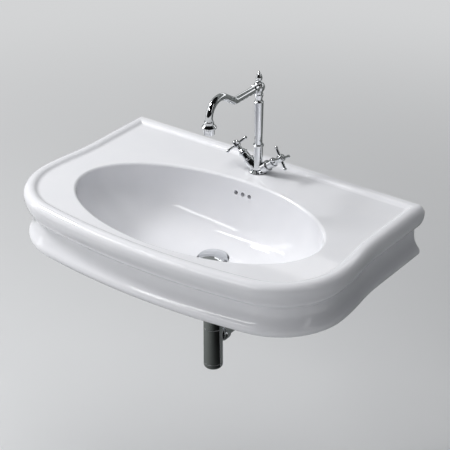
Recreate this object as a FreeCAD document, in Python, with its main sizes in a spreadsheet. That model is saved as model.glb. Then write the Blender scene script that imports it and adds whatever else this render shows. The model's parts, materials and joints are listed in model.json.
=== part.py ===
"""Wall-hung washbasin with a column mixer, a pop-up waste and a bottle trap.

Millimetres. +X runs along the wall to the right, +Y points into the wall and +Z up.
The origin is on the wall, midway between the two wall-bolt holes.
"""
import FreeCAD, Part
import math
import os
import Sketcher

DIMENSIONS = {
    # Basin outline in plan, measured at the outside of the rolled rim
    "basin_width": 812.0,
    "basin_depth": 511.0,
    "wall_half_width": 393.0,
    "side_straight": 166.0,
    "waist_radius": 507.0,
    "shoulder_radius": 621.0,
    "corner_radius": 166.0,
    "front_radius": 1587.0,
    # Section through the rim and the apron
    "rim_top": 85.0,
    "roll_top_radius": 17.0,
    "roll_side_radius": 55.0,
    "roll_turn": 51.0,
    "notch_radius": 6.0,
    "cove_straight": 10.0,
    "cove_radius": 40.0,
    "cove_turn": 46.0,
    "lip_radius": 13.0,
    "lip_land": 3.0,
    "wall_thickness": 12.0,
    "roll_wall": 15.0,
    "roll_hollow": 18.0,
    "cove_hollow": 8.0,
    # Deck inside the rim, and the half bead along the wall
    "bead_round": 10.0,
    "bead_foot": 8.0,
    "bead_turn": 54.3,
    "back_land": 10.0,
    "deck_thickness": 13.0,
    "back_wall": 15.0,
    "back_drop": 124.0,
    "back_lip_inset": 18.0,
    "back_cove_inset": 28.0,
    "back_cove_low": 45.0,
    "back_cove_high": 60.0,
    "back_roll_inset": 12.0,
    "join": 10.0,
    # Bowl
    "bowl_half_width": 304.0,
    "bowl_half_depth": 170.5,
    "bowl_centre": 289.0,
    "bowl_depth": 145.0,
    "bowl_shell": 11.0,
    "shell_start": 3.0,
    "bowl_headroom": 8.0,
    "mouth_round": 7.0,
    # Waste hole and overflow
    "waste_centre": 231.0,
    "waste_hole": 46.0,
    "waste_seat": 71.0,
    "waste_seat_depth": 7.0,
    "waste_boss": 84.0,
    "waste_boss_drop": 34.0,
    "overflow_hole": 10.5,
    "overflow_pitch": 18.0,
    "overflow_drop": 42.0,
    "overflow_start": 140.0,
    "overflow_reach": 38.0,
    "duct_width": 50.0,
    "duct_gap": 14.0,
    "duct_wall": 9.0,
    "duct_root": 5.0,
    "duct_mouth": 4.0,
    "duct_foot": 21.0,
    # Tap hole and wall bolts
    "tap_centre": 60.0,
    "tap_hole": 35.0,
    "wall_bolt_spacing": 280.0,
    "wall_bolt_hole": 22.0,
    # Tap foot, neck and clamping under the deck
    "foot_seal_height": 1.5,
    "foot_diameter": 42.0,
    "foot_height": 6.0,
    "bulb_diameter": 30.0,
    "bulb_height": 25.0,
    "neck_diameter": 20.0,
    "neck_top": 62.0,
    "neck_socket": 10.0,
    "shank_diameter": 30.0,
    "shank_length": 52.0,
    "inlet_diameter": 9.0,
    "inlet_depth": 14.0,
    "inlet_spacing": 14.0,
    "clamp_diameter": 44.0,
    "clamp_rubber": 3.0,
    "clamp_steel": 2.0,
    "clamp_nut_flats": 38.0,
    "clamp_nut_height": 10.0,
    # Gaps and edge breaks shared by the small pieces
    "loose_fit": 0.5,
    "running_gap": 0.05,
    "swivel_gap": 0.3,
    "edge_break": 1.0,
    # Valve arms of the tap, measured along their own axis from where the two axes meet
    "arm_tilt": 51.0,
    "arm_meet": 0.0,
    "arm_start": 5.0,
    "arm_root": 20.2,
    "arm_end": 31.0,
    "arm_root_diameter": 25.0,
    "arm_diameter": 20.0,
    "valve_diameter": 14.0,
    "valve_start": 22.0,
    "collar_diameter": 23.5,
    "collar_length": 5.0,
    "bonnet_diameter": 17.0,
    "bonnet_end": 55.5,
    "bonnet_flange": 22.0,
    "bonnet_flange_length": 4.0,
    "bonnet_cap": 5.0,
    "spindle_diameter": 8.0,
    "spindle_depth": 14.0,
    # Cross handles
    "handle_gap": 0.8,
    "hub_waist": 11.0,
    "hub_diameter": 17.0,
    "hub_length": 28.0,
    "hub_skirt": 2.0,
    "hub_cone": 4.0,
    "hub_roof": 3.0,
    "hub_shoulder": 5.0,
    "spoke_plane": 77.0,
    "spoke_length": 26.3,
    "knob_diameter": 7.0,
    "knob_joint": 45.0,
    "button_diameter": 12.0,
    "button_edge": 1.0,
    "button_dome": 2.5,
    "hot_rest_turn": 55.0,
    "cold_rest_turn": -12.0,
    # Column of the tap, measured up from the deck
    "column_ring_diameter": 24.0,
    "column_ring_height": 5.0,
    "column_low_diameter": 17.0,
    "column_high_diameter": 21.0,
    "column_top": 170.0,
    "column_bore": 10.0,
    "column_waist": 15.0,
    "column_waist_height": 7.0,
    "column_waist_radius": 8.0,
    "cup_diameter": 20.0,
    "cup_height": 9.0,
    "cup_edge": 2.0,
    # Swivel: spigot, seals, ball hub and finial
    "spigot_diameter": 12.0,
    "spigot_depth": 10.0,
    "spigot_bore": 7.0,
    "spigot_port": 6.0,
    "spigot_thread": 8.0,
    "spigot_thread_length": 6.0,
    "seal_section": 1.0,
    "seal_groove": 1.4,
    "seal_spread": 8.0,
    "ball_height": 204.5,
    "ball_diameter": 26.0,
    "ball_neck": 17.0,
    "ball_joint": 49.2,
    "ball_head": 12.5,
    "finial_base": 15.0,
    "finial_base_height": 1.5,
    "finial_waist": 10.0,
    "finial_waist_height": 3.0,
    "finial_diameter": 14.5,
    "finial_widest": 9.0,
    "finial_shoulder_radius": 8.0,
    "finial_flank_radius": 22.0,
    "finial_point": 5.0,
    "finial_point_height": 21.5,
    "finial_height": 26.5,
    # Spout, measured out from the column
    "socket_diameter": 18.0,
    "socket_bore": 10.0,
    "socket_reach": 15.0,
    "spout_nut_diameter": 21.0,
    "spout_nut_length": 7.0,
    "tube_diameter": 16.0,
    "tube_bore": 13.0,
    "kink_reach": 92.0,
    "kink_turn": 32.0,
    "kink_radius": 18.0,
    "outlet_reach": 182.4,
    "swan_radius": 36.0,
    "tube_end_drop": 20.0,
    "sleeve_diameter": 21.0,
    "sleeve_length": 6.0,
    "flare_diameter": 32.0,
    "flare_drop": 6.0,
    "flare_edge": 2.5,
    "aerator_drop": 11.0,
    "aerator_diameter": 25.0,
    "aerator_tip_diameter": 23.0,
    "aerator_length": 12.0,
    "aerator_bore": 20.0,
    "insert_set_back": 1.5,
    "insert_height": 9.0,
    "jet_diameter": 2.4,
    "jet_circle": 6.0,
    # Pop-up waste, measured up from the seat in the bowl
    "waste_flange": 69.0,
    "waste_flange_height": 2.5,
    "waste_seal": 1.0,
    "waste_dish": 42.0,
    "waste_dish_depth": 0.7,
    "waste_tube": 41.8,
    "waste_bore": 37.0,
    "waste_length": 62.0,
    "window_width": 16.0,
    "window_low": -22.0,
    "window_high": -14.0,
    "waste_low_seal": 5.0,
    "waste_nut_height": 10.0,
    "waste_nut_flats": 60.0,
    "plug_diameter": 63.0,
    "plug_travel": 6.0,
    "plug_seal_diameter": 50.0,
    "plug_seal_height": 1.5,
    "plug_edge": 2.0,
    "plug_dome": 4.5,
    "stem_diameter": 8.0,
    "stem_length": 48.0,
    "guide_hub": 16.0,
    "guide_height": 14.0,
    "guide_drop": 24.0,
    "guide_arm": 4.0,
    # Bottle trap, in the frame's own heights
    "trap_diameter": 44.0,
    "trap_wall": 1.8,
    "trap_top": -244.0,
    "trap_foot": -350.0,
    "trap_cap_height": 14.0,
    "trap_cap_wall": 4.0,
    "trap_spigot": 6.0,
    "trap_round": 8.0,
    "trap_seal": 1.0,
    "trap_neck": 38.0,
    "trap_neck_height": 15.0,
    "trap_shoulder": 3.0,
    "trap_nut_height": 22.0,
    "trap_groove": 0.6,
    "nut_lip": 2.5,
    "pipe_diameter": 32.0,
    "pipe_wall": 1.2,
    "pipe_clearance": 0.3,
    "dip_end": -328.0,
    "coupling_diameter": 50.0,
    "coupling_above": 12.0,
    "coupling_below": 8.0,
    "coupling_seal": 2.0,
    "dip_flange": 1.5,
    "outlet_height": -274.0,
    "outlet_boss": 36.0,
    "outlet_boss_reach": 34.0,
    "outlet_socket": 8.0,
    "outlet_nut_diameter": 42.0,
    "outlet_nut_length": 15.0,
    "outlet_nut_start": 26.0,
    "wall_pipe": 42.0,
    "wall_tail_start": 2.0,
    "wall_tail_diameter": 31.5,
    "wall_flange_diameter": 70.0,
    "wall_flange_height": 12.0,
    "wall_flange_collar": 38.0,
    "wall_flange_edge": 2.0,
}


class Dim:
    """A size together with the sheet formula that gives it."""

    def __init__(self, value, text):
        self.value = value
        self.text = text

    def __add__(self, other):
        other = as_dim(other)
        return Dim(self.value + other.value, f"({self.text} + {other.text})")

    def __sub__(self, other):
        other = as_dim(other)
        return Dim(self.value - other.value, f"({self.text} - {other.text})")

    def __mul__(self, other):
        other = as_dim(other)
        return Dim(self.value * other.value, f"({self.text} * {other.text})")

    def __truediv__(self, other):
        other = as_dim(other)
        return Dim(self.value / other.value, f"({self.text} / {other.text})")

    def __radd__(self, other):
        return as_dim(other) + self

    def __rsub__(self, other):
        return as_dim(other) - self

    def __rmul__(self, other):
        return as_dim(other) * self

    def __neg__(self):
        return Dim(-self.value, f"(0 - {self.text})")


def as_dim(number):
    return number if isinstance(number, Dim) else Dim(float(number), repr(float(number)))


def sine(angle):
    return Dim(math.sin(math.radians(angle.value)), f"sin({angle.text} * 1deg)")


def cosine(angle):
    return Dim(math.cos(math.radians(angle.value)), f"cos({angle.text} * 1deg)")


class Sizes:
    """Reads each driving dimension as a Dim by its alias in the sheet."""

    def __getattr__(self, alias):
        return Dim(DIMENSIONS[alias], f"dims.{alias}")


doc = FreeCAD.newDocument("washbasin")
sheet = doc.addObject("Spreadsheet::Sheet", "dims")
for row, (alias, number) in enumerate(DIMENSIONS.items(), start=1):
    sheet.set(f"A{row}", alias)
    sheet.set(f"B{row}", str(number))
    sheet.setAlias(f"B{row}", alias)
doc.recompute()
size = Sizes()
pieces = []


def bind(thing, prop, dim):
    """Ties one property of an object to the sheet."""
    thing.setExpression(prop, as_dim(dim).text)


def new_body(label):
    body = doc.addObject("PartDesign::Body", label)
    body.Label = label
    pieces.append(body)
    return body


def sketch_on(body, plane, name, lift=None):
    """A sketch on one of the body's own origin planes, raised along its normal by lift."""
    sketch = body.newObject("Sketcher::SketchObject", name)
    support = next(f for f in body.Origin.OriginFeatures if f.Role == plane)
    sketch.AttachmentSupport = [(support, "")]
    sketch.MapMode = "FlatFace"
    if lift is not None:
        bind(sketch, "AttachmentOffset.Base.z", lift)
    return sketch


def constrain(sketch, dim, kind, *where):
    """Adds a dimension constraint that reads the sheet."""
    dim = as_dim(dim)
    index = sketch.addConstraint(Sketcher.Constraint(kind, *where, dim.value))
    sketch.setExpression(f"Constraints[{index}]", dim.text)


def pin_point(sketch, geo, end, across, up):
    """Fixes a point of the sketch by its two distances from the sketch origin."""
    for dim, kind, axis in ((across, "DistanceX", -2), (up, "DistanceY", -1)):
        if as_dim(dim).value == 0.0:
            sketch.addConstraint(Sketcher.Constraint("PointOnObject", geo, end, axis))
        else:
            constrain(sketch, dim, kind, -1, 1, geo, end)


def flat(point):
    return FreeCAD.Vector(as_dim(point[0]).value, as_dim(point[1]).value, 0)


def arc_between(start, end, radius):
    """An arc of under a half circle's rise; a positive radius bends it to the left of the way."""
    chord = end - start
    rise = math.sqrt(max(radius * radius - chord.Length ** 2 / 4, 0.0))
    left = FreeCAD.Vector(-chord.y, chord.x, 0).normalize()
    centre = (start + end) * 0.5 + left * math.copysign(rise, radius)
    first, last = (start, end) if radius > 0 else (end, start)
    angles = [math.atan2(p.y - centre.y, p.x - centre.x) for p in (first, last)]
    circle = Part.Circle(centre, FreeCAD.Vector(0, 0, 1), abs(radius))
    return Part.ArcOfCircle(circle, *angles)


def trace(sketch, points, closed=True):
    """Draws an outline through points; a third item is the radius of the arc to the next one."""
    corners = [flat(p) for p in points]
    count = len(points) if closed else len(points) - 1
    runs = []
    for i in range(count):
        start, end = corners[i], corners[(i + 1) % len(points)]
        radius = points[i][2] if len(points[i]) == 3 else None
        if radius is None:
            geo = sketch.addGeometry(Part.LineSegment(start, end))
            runs.append((geo, 1, 2))
        else:
            bend = as_dim(radius)
            geo = sketch.addGeometry(arc_between(start, end, bend.value))
            runs.append((geo, 1, 2) if bend.value > 0 else (geo, 2, 1))
            constrain(sketch, bend if bend.value > 0 else -bend, "Radius", geo)
    for i in range(count if closed else count - 1):
        here, after = runs[i], runs[(i + 1) % count]
        sketch.addConstraint(Sketcher.Constraint("Coincident", here[0], here[2], after[0], after[1]))
    for i, run in enumerate(runs):
        pin_point(sketch, run[0], run[1], points[i][0], points[i][1])
    if not closed:
        pin_point(sketch, runs[-1][0], runs[-1][2], points[-1][0], points[-1][1])
    return sketch


def feature(body, kind, name, profile, **settings):
    """A PartDesign feature on one sketch."""
    made = body.newObject("PartDesign::" + kind, name)
    made.Profile = profile
    for prop, setting in settings.items():
        if isinstance(setting, Dim):
            bind(made, prop, setting)
        else:
            setattr(made, prop, setting)
    return made


def touch_circles(a, ra, b, rb, side):
    """Centre that lies ra from a and rb from b, on the side of the line a to b that side gives."""
    way = b - a
    along = (ra * ra - rb * rb + way.Length ** 2) / (2 * way.Length)
    off = math.sqrt(ra * ra - along * along)
    unit = FreeCAD.Vector(way).normalize()
    return a + unit * along + FreeCAD.Vector(-unit.y, unit.x, 0) * off * side


def rim_outline(sketch, inset, back=None):
    """The plan outline moved inwards: open at the wall, or closed by a straight back."""
    inset = as_dim(inset)
    side = size.wall_half_width - inset
    waist = size.waist_radius + inset
    shoulder = size.shoulder_radius - inset
    corner = size.corner_radius - inset
    front = size.front_radius - inset
    corner_x = size.basin_width / 2 - size.corner_radius
    front_y = size.front_radius - size.basin_depth
    straight = -size.side_straight
    reach = (front.value - corner.value) ** 2 - corner_x.value ** 2
    corner_y = front_y.value - math.sqrt(reach)
    waist_c = FreeCAD.Vector(side.value + waist.value, straight.value, 0)
    corner_c = FreeCAD.Vector(corner_x.value, corner_y, 0)
    front_c = FreeCAD.Vector(0, front_y.value, 0)
    shoulder_c = touch_circles(
        waist_c, waist.value + shoulder.value, corner_c, shoulder.value - corner.value, -1)
    bend_a = waist_c + (shoulder_c - waist_c).normalize() * waist.value
    bend_b = shoulder_c + (corner_c - shoulder_c).normalize() * shoulder.value
    bend_c = front_c + (corner_c - front_c).normalize() * front.value
    start = FreeCAD.Vector(side.value, 0 if back is None else -back.value, 0)
    half = [start, FreeCAD.Vector(side.value, straight.value, 0), bend_a, bend_b, bend_c]
    bends = [waist.value, -shoulder.value, -corner.value]
    mirrored = [FreeCAD.Vector(-p.x, p.y, 0) for p in reversed(half)]
    path = half + mirrored
    radii = [None] + bends + [-front.value] + bends[::-1] + [None]
    runs = []
    for i, radius in enumerate(radii):
        if radius is None:
            runs.append((sketch.addGeometry(Part.LineSegment(path[i], path[i + 1])), 1, 2))
        else:
            geo = sketch.addGeometry(arc_between(path[i], path[i + 1], radius))
            runs.append((geo, 1, 2) if radius > 0 else (geo, 2, 1))
    for here, after in zip(runs, runs[1:]):
        sketch.addConstraint(Sketcher.Constraint("Tangent", here[0], here[2], after[0], after[1]))
    dims = [waist, shoulder, corner]
    for run, dim in zip(runs[1:8], dims + [front] + dims[::-1]):
        constrain(sketch, dim, "Radius", run[0])
    first, last = runs[0], runs[-1]
    for run, sign in ((first, 1), (last, -1)):
        sketch.addConstraint(Sketcher.Constraint("Vertical", run[0]))
        constrain(sketch, side if sign > 0 else -side, "DistanceX", -1, 1, run[0], 1)
        constrain(sketch, straight, "DistanceY", -1, 1, run[0], 2 if sign > 0 else 1)
    for run, sign in ((runs[3], 1), (runs[5], -1)):
        constrain(sketch, corner_x if sign > 0 else -corner_x, "DistanceX", -1, 1, run[0], 3)
    pin_point(sketch, runs[4][0], 3, 0, front_y)
    wall_line = 0.0 if back is None else -back
    for run, end in ((first, 1), (last, 2)):
        if back is None:
            sketch.addConstraint(Sketcher.Constraint("PointOnObject", run[0], end, -1))
        else:
            constrain(sketch, wall_line, "DistanceY", -1, 1, run[0], end)
    if back is not None:
        geo = sketch.addGeometry(Part.LineSegment(path[-1], path[0]))
        sketch.addConstraint(Sketcher.Constraint("Coincident", last[0], 2, geo, 1))
        sketch.addConstraint(Sketcher.Constraint("Coincident", geo, 2, first[0], 1))
    return len(runs)


def deck_drop():
    """Drop from the crest of the bead to the deck."""
    return (size.bead_round + size.bead_foot) * (1 - cosine(size.bead_turn))


def bead_reach():
    """Run of the bead's inner slope, from its crest to the deck."""
    return (size.bead_round + size.bead_foot) * sine(size.bead_turn)


def deck_level():
    return size.rim_top - deck_drop()


def floor_level():
    return deck_level() - size.bowl_depth


def apron_section(sketch):
    """Closed section of the rolled rim, the cove and the lip, with the hollow side inwards."""
    x = size.wall_half_width
    z = size.rim_top
    crest = size.roll_top_radius
    slope_in = crest + size.bead_round * sine(size.bead_turn)
    slope_drop = size.bead_round * (1 - cosine(size.bead_turn))
    side_in = size.roll_side_radius * (1 - cosine(size.roll_turn))
    side_drop = size.roll_top_radius + size.roll_side_radius * sine(size.roll_turn)
    notch_in = side_in + size.notch_radius * (1 - cosine(size.roll_turn))
    notch_drop = side_drop + size.notch_radius * sine(size.roll_turn)
    cove_drop = notch_drop + size.cove_straight
    flare_in = notch_in - size.cove_radius * (1 - cosine(size.cove_turn))
    flare_drop = cove_drop + size.cove_radius * sine(size.cove_turn)
    lip_in = flare_in - size.lip_radius * (1 - cosine(size.cove_turn))
    lip_drop = flare_drop + size.lip_radius * sine(size.cove_turn)
    foot_in = lip_in + size.lip_radius
    foot_drop = lip_drop + size.lip_radius
    inner = notch_in + size.wall_thickness
    root = inner + size.deck_thickness
    soffit = deck_drop() + size.deck_thickness
    trace(sketch, [
        (x - root, z - deck_drop()),
        (x - crest - bead_reach(), z - deck_drop(), size.bead_foot),
        (x - slope_in, z - slope_drop, -size.bead_round),
        (x - crest, z, -size.roll_top_radius),
        (x, z - size.roll_top_radius, -size.roll_side_radius),
        (x - side_in, z - side_drop, size.notch_radius),
        (x - notch_in, z - notch_drop),
        (x - notch_in, z - cove_drop, size.cove_radius),
        (x - flare_in, z - flare_drop, -size.lip_radius),
        (x - foot_in, z - foot_drop),
        (x - foot_in - size.lip_land, z - foot_drop),
        (x - lip_in - size.wall_thickness, z - lip_drop),
        (x - inner, z - cove_drop - size.cove_hollow),
        (x - inner, z - notch_drop),
        (x - size.roll_wall, z - size.roll_top_radius - size.roll_hollow),
        (x - size.roll_wall, z - soffit),
        (x - root, z - soffit),
    ])


def oval(sketch, half_width, half_depth, centre):
    """An ellipse with its long axis along X, bound by both diameters and its centre."""
    middle = FreeCAD.Vector(0, -centre.value, 0)
    tip = middle + FreeCAD.Vector(half_width.value, 0, 0)
    flank = middle + FreeCAD.Vector(0, half_depth.value, 0)
    geo = sketch.addGeometry(Part.Ellipse(tip, flank, middle))
    sketch.exposeInternalGeometry(geo)
    pin_point(sketch, geo, 3, 0, -centre)
    sketch.addConstraint(Sketcher.Constraint("Horizontal", geo + 1))
    constrain(sketch, 2 * half_width, "Distance", geo + 1)
    constrain(sketch, 2 * half_depth, "Distance", geo + 2)


BOWL_LEVELS = (0.0, 0.3, 0.55, 0.76, 0.9, 0.97, 1.0)
BOWL_FULLNESS = 2.5
DRAIN_SHARE = 0.17
DUCT_LEVELS = (0.35, 0.6, 0.78, 0.89, 0.95)
DUCT_ROOF_OUTSIDE = 0.08
DUCT_ROOF_INSIDE = 0.16


def bowl_share(level):
    """Share of the mouth's size that the bowl keeps at a share of its depth."""
    return max((1 - level ** BOWL_FULLNESS) ** (1 / BOWL_FULLNESS), DRAIN_SHARE)


def bowl_loft(body, kind, name, grow, start):
    """Lofts the bowl through ovals that shrink towards the waste; grow is the shell it adds."""
    sketches = []
    levels = [(start, 1.0)] + [
        ((size.bowl_depth + grow) * level, bowl_share(level)) for level in BOWL_LEVELS]
    for i, (drop, share) in enumerate(levels):
        sketch = sketch_on(body, "XY_Plane", f"{name}{i}", deck_level() - drop)
        centre = size.waste_centre + (size.bowl_centre - size.waste_centre) * share
        oval(sketch, size.bowl_half_width * share + grow, size.bowl_half_depth * share + grow, centre)
        sketches.append(sketch)
    doc.recompute()
    return feature(body, kind, name, sketches[0], Sections=sketches[1:])


def bowl_back(level, offset):
    """A point (y, z) of the bowl's back at the middle plane, moved out square to the wall."""
    share = bowl_share(level)
    run = size.bowl_half_depth - size.bowl_centre + size.waste_centre
    slope = run.value * level ** (BOWL_FULLNESS - 1) * share ** (1 - BOWL_FULLNESS)
    lean = math.atan2(slope, size.bowl_depth.value)
    y = run * share - size.waste_centre + offset * math.cos(lean)
    z = deck_level() - size.bowl_depth * level - offset * math.sin(lean)
    return y, z


def duct_outline(near, far, levels, foot_top, foot_low):
    """Side outline of the overflow duct, from the overflow holes down to the waste hole."""
    mouth = -size.waste_centre + size.waste_hole / 2 - size.duct_mouth
    return ([bowl_back(level, near) for level in levels]
            + [(mouth, foot_top), (mouth, foot_low)]
            + [bowl_back(level, far) for level in reversed(levels)])


def pad_outline(body, name, plane, corners, length, kind="Pad", **settings):
    """Pads or pockets one traced outline."""
    sketch = trace(sketch_on(body, plane, name + "Outline"), corners)
    return feature(body, kind, name, sketch, Length=length, **settings)


def rect(left, low, right, high):
    return [(left, low), (right, low), (right, high), (left, high)]


def sketch_circle(sketch, spot, diameter):
    circle = Part.Circle(flat(spot), FreeCAD.Vector(0, 0, 1), as_dim(diameter).value / 2)
    geo = sketch.addGeometry(circle)
    constrain(sketch, diameter, "Diameter", geo)
    pin_point(sketch, geo, 3, *spot)


def round_feature(body, kind, name, plane, spots, diameter, length, lift=None, **settings):
    """Pads or pockets circles of one diameter at the given spots of a plane."""
    sketch = sketch_on(body, plane, name + "Circles", lift)
    for spot in spots:
        sketch_circle(sketch, spot, diameter)
    return feature(body, kind, name, sketch, Length=length, **settings)


def back_wall_outline():
    """Back of the casting: wide behind the roll and the lip, narrow behind the cove."""
    x = size.wall_half_width
    z = size.rim_top
    low = z - size.back_drop
    right = [
        (x - size.back_lip_inset, low),
        (x - size.back_lip_inset, low + size.lip_radius),
        (x - size.back_cove_inset, low + size.back_cove_low),
        (x - size.back_cove_inset, low + size.back_cove_high),
        (x - size.back_roll_inset, z - 2 * size.roll_top_radius),
        (x - size.back_roll_inset, z - size.roll_top_radius),
        (x - size.back_lip_inset, deck_level()),
    ]
    return right + [(-across, up) for across, up in reversed(right)]


def make_basin():
    body = new_body("basin")
    path = sketch_on(body, "XY_Plane", "RimPath")
    runs = rim_outline(path, 0)
    section = sketch_on(body, "XZ_Plane", "ApronSection")
    apron_section(section)
    doc.recompute()
    apron = feature(body, "AdditivePipe", "Apron", section)
    apron.Spine = (path, [f"Edge{i + 1}" for i in range(runs)])
    doc.recompute()

    deck = sketch_on(body, "XY_Plane", "DeckOutline", deck_level())
    rim_outline(deck, size.roll_top_radius + bead_reach() + size.join, size.back_wall / 2)
    feature(body, "Pad", "Deck", deck, Length=size.deck_thickness, Reversed=True)
    inside = size.wall_half_width - size.roll_top_radius - size.join
    pad_outline(body, "BackWall", "XZ_Plane", back_wall_outline(), size.back_wall)
    soffit = deck_level() - size.deck_thickness
    land = -size.back_land
    slope = land - size.bead_round * sine(size.bead_turn)
    slope_z = size.rim_top - size.bead_round * (1 - cosine(size.bead_turn))
    foot = land - bead_reach()
    pad_outline(body, "BackBead", "YZ_Plane", [
        (0, soffit),
        (foot, soffit),
        (foot, deck_level(), size.bead_foot),
        (slope, slope_z, -size.bead_round),
        (land, size.rim_top),
        (0, size.rim_top),
    ], 2 * inside, Midplane=True)
    doc.recompute()

    bowl_loft(body, "AdditiveLoft", "BowlShell", size.bowl_shell, size.shell_start)
    doc.recompute()
    centre = [(0, -size.waste_centre)]
    boss_low = floor_level() - size.waste_boss_drop
    boss_high = size.waste_boss_drop - size.waste_seat_depth
    round_feature(body, "Pad", "WasteBoss", "XY_Plane", centre, size.waste_boss, boss_high, boss_low)
    shell = size.bowl_shell
    duct_half = size.duct_width / 2
    pad_outline(body, "Duct", "YZ_Plane", duct_outline(
        shell - size.duct_root, shell + size.duct_gap + size.duct_wall, (DUCT_ROOF_OUTSIDE,) + DUCT_LEVELS,
        boss_low + size.duct_foot, boss_low), 2 * (duct_half + size.duct_wall), Midplane=True)
    doc.recompute()
    bowl_loft(body, "SubtractiveLoft", "BowlHollow", as_dim(0), -size.bowl_headroom)
    doc.recompute()
    pad_outline(body, "DuctHollow", "YZ_Plane", duct_outline(
        shell, shell + size.duct_gap, (DUCT_ROOF_INSIDE,) + DUCT_LEVELS,
        boss_low + size.duct_gap, boss_low + size.duct_mouth), size.duct_width, kind="Pocket", Midplane=True)
    doc.recompute()
    through = size.waste_boss_drop + size.bowl_shell
    round_feature(body, "Pocket", "WasteHole", "XY_Plane", centre, size.waste_hole, through, floor_level())
    seat_top = floor_level() + size.bowl_shell
    round_feature(body, "Pocket", "WasteSeat", "XY_Plane", centre, size.waste_seat,
                  size.bowl_shell + size.waste_seat_depth, seat_top)
    round_feature(body, "Pocket", "TapHole", "XY_Plane", [(0, -size.tap_centre)], size.tap_hole,
                  size.deck_thickness, deck_level())
    overflow_z = size.rim_top - size.overflow_drop
    pitch = size.overflow_pitch
    round_feature(body, "Pocket", "Overflow", "XZ_Plane",
                  [(-pitch, overflow_z), (0, overflow_z), (pitch, overflow_z)], size.overflow_hole,
                  size.overflow_reach, size.overflow_start)
    bolt = size.wall_bolt_spacing / 2
    round_feature(body, "Pocket", "WallBolts", "XZ_Plane", [(-bolt, 0), (bolt, 0)],
                  size.wall_bolt_hole, size.back_wall, Reversed=True)
    doc.recompute()
    base = body.Tip
    back = size.bowl_half_depth - size.bowl_centre
    mouth = [f"Edge{i}" for i, edge in enumerate(base.Shape.Edges, start=1)
             if edge.isClosed() and edge.Length > 2 * size.bowl_half_width.value
             and abs(edge.BoundBox.ZMin - deck_level().value) < size.running_gap.value
             and abs(edge.BoundBox.ZMax - deck_level().value) < size.running_gap.value
             and edge.BoundBox.YMax < back.value + size.edge_break.value]
    soft = body.newObject("PartDesign::Fillet", "MouthRound")
    soft.Base = (base, mouth)
    bind(soft, "Radius", size.mouth_round)


def turned(label, profile):
    """A body turned on a lathe: (radius, height) points about its own upright axis."""
    body = new_body(label)
    spin(body, "Revolution", "Turned", sketch_on(body, "XZ_Plane", "TurnedProfile"), profile)
    return body


def spin(body, kind, name, sketch, profile, axis="V_Axis"):
    """Turns a traced profile about one axis of its own sketch, adding or cutting."""
    made = feature(body, kind, name, trace(sketch, profile))
    made.ReferenceAxis = (sketch, [axis])
    return made


def place(body, at, *turns):
    """Puts a body at a point; each turn is an axis and an angle, and all of it reads the sheet."""
    spot = "; ".join(as_dim(dim).text for dim in at)
    turning = " * ".join(
        f"rotation(vector({x}; {y}; {z}); {as_dim(angle).text})" for (x, y, z), angle in turns)
    body.setExpression("Placement", f"placement(vector({spot}); {turning or 'rotation(0; 0; 0)'})")


def ring(label, outer, inner, low, high):
    """A plain washer: two diameters and two heights."""
    return turned(label, rect(inner / 2, low, outer / 2, high))


def hex_nut(label, flats, bore, low, high):
    """A six-sided nut with a plain bore."""
    body = new_body(label)
    corner = flats / (2 * cosine(as_dim(30)))
    angles = [as_dim(15 + 60 * i) for i in range(6)]
    sketch = sketch_on(body, "XY_Plane", "Flats", low)
    trace(sketch, [(corner * cosine(angle), corner * sine(angle)) for angle in angles])
    feature(body, "Pad", "Hex", sketch, Length=high - low)
    round_feature(body, "Pocket", "Bore", "XY_Plane", [(0, 0)], bore, high - low, high)
    return body


def repeat_round(body, made, count):
    """Repeats a feature evenly round the body's upright axis."""
    pattern = body.newObject("PartDesign::PolarPattern", "Pattern")
    pattern.Originals = [made]
    pattern.Axis = (next(f for f in body.Origin.OriginFeatures if f.Role == "Z_Axis"), [""])
    pattern.Angle = 360
    pattern.Occurrences = count
    body.Tip = pattern


def dome_radius(half, rise):
    """Radius of a dome that lies level at its top."""
    return (half * half + rise * rise) / (2 * rise)


def on_deck(height=0):
    return (0, -size.tap_centre, deck_level() + height)


def at_waste(height):
    return (0, -size.waste_centre, height)


def make_tap_mounting():
    """Seal, threaded shank with the two supply inlets, washers and nut that clamp the tap."""
    bore = size.shank_diameter + 2 * size.loose_fit
    under = -size.deck_thickness
    steel = under - size.clamp_rubber
    nut = steel - size.clamp_steel
    shank = turned("tap_shank", rect(0, -size.shank_length, size.shank_diameter / 2, size.foot_seal_height))
    half = size.inlet_spacing / 2
    round_feature(shank, "Pocket", "SupplyInlets", "XY_Plane", [(-half, 0), (half, 0)],
                  size.inlet_diameter, size.inlet_depth, -size.shank_length, Reversed=True)
    for piece in (
        shank,
        ring("tap_foot_seal", size.foot_diameter, bore, 0, size.foot_seal_height),
        ring("clamp_rubber_washer", size.clamp_diameter, bore, steel, under),
        ring("clamp_steel_washer", size.clamp_diameter, bore, nut, steel),
        hex_nut("clamp_nut", size.clamp_nut_flats, size.shank_diameter, nut - size.clamp_nut_height, nut),
    ):
        place(piece, on_deck())


def arm_sketch(body, name, side):
    """A sketch whose upright axis runs along the valve arm on one side of the tap."""
    sketch = sketch_on(body, "XZ_Plane", name)
    lean = (-side * size.arm_tilt).text
    sketch.setExpression(
        "AttachmentOffset",
        f"placement(vector(0; {size.arm_meet.text}; 0); rotation(vector(0; 0; 1); {lean}))")
    return sketch


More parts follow.
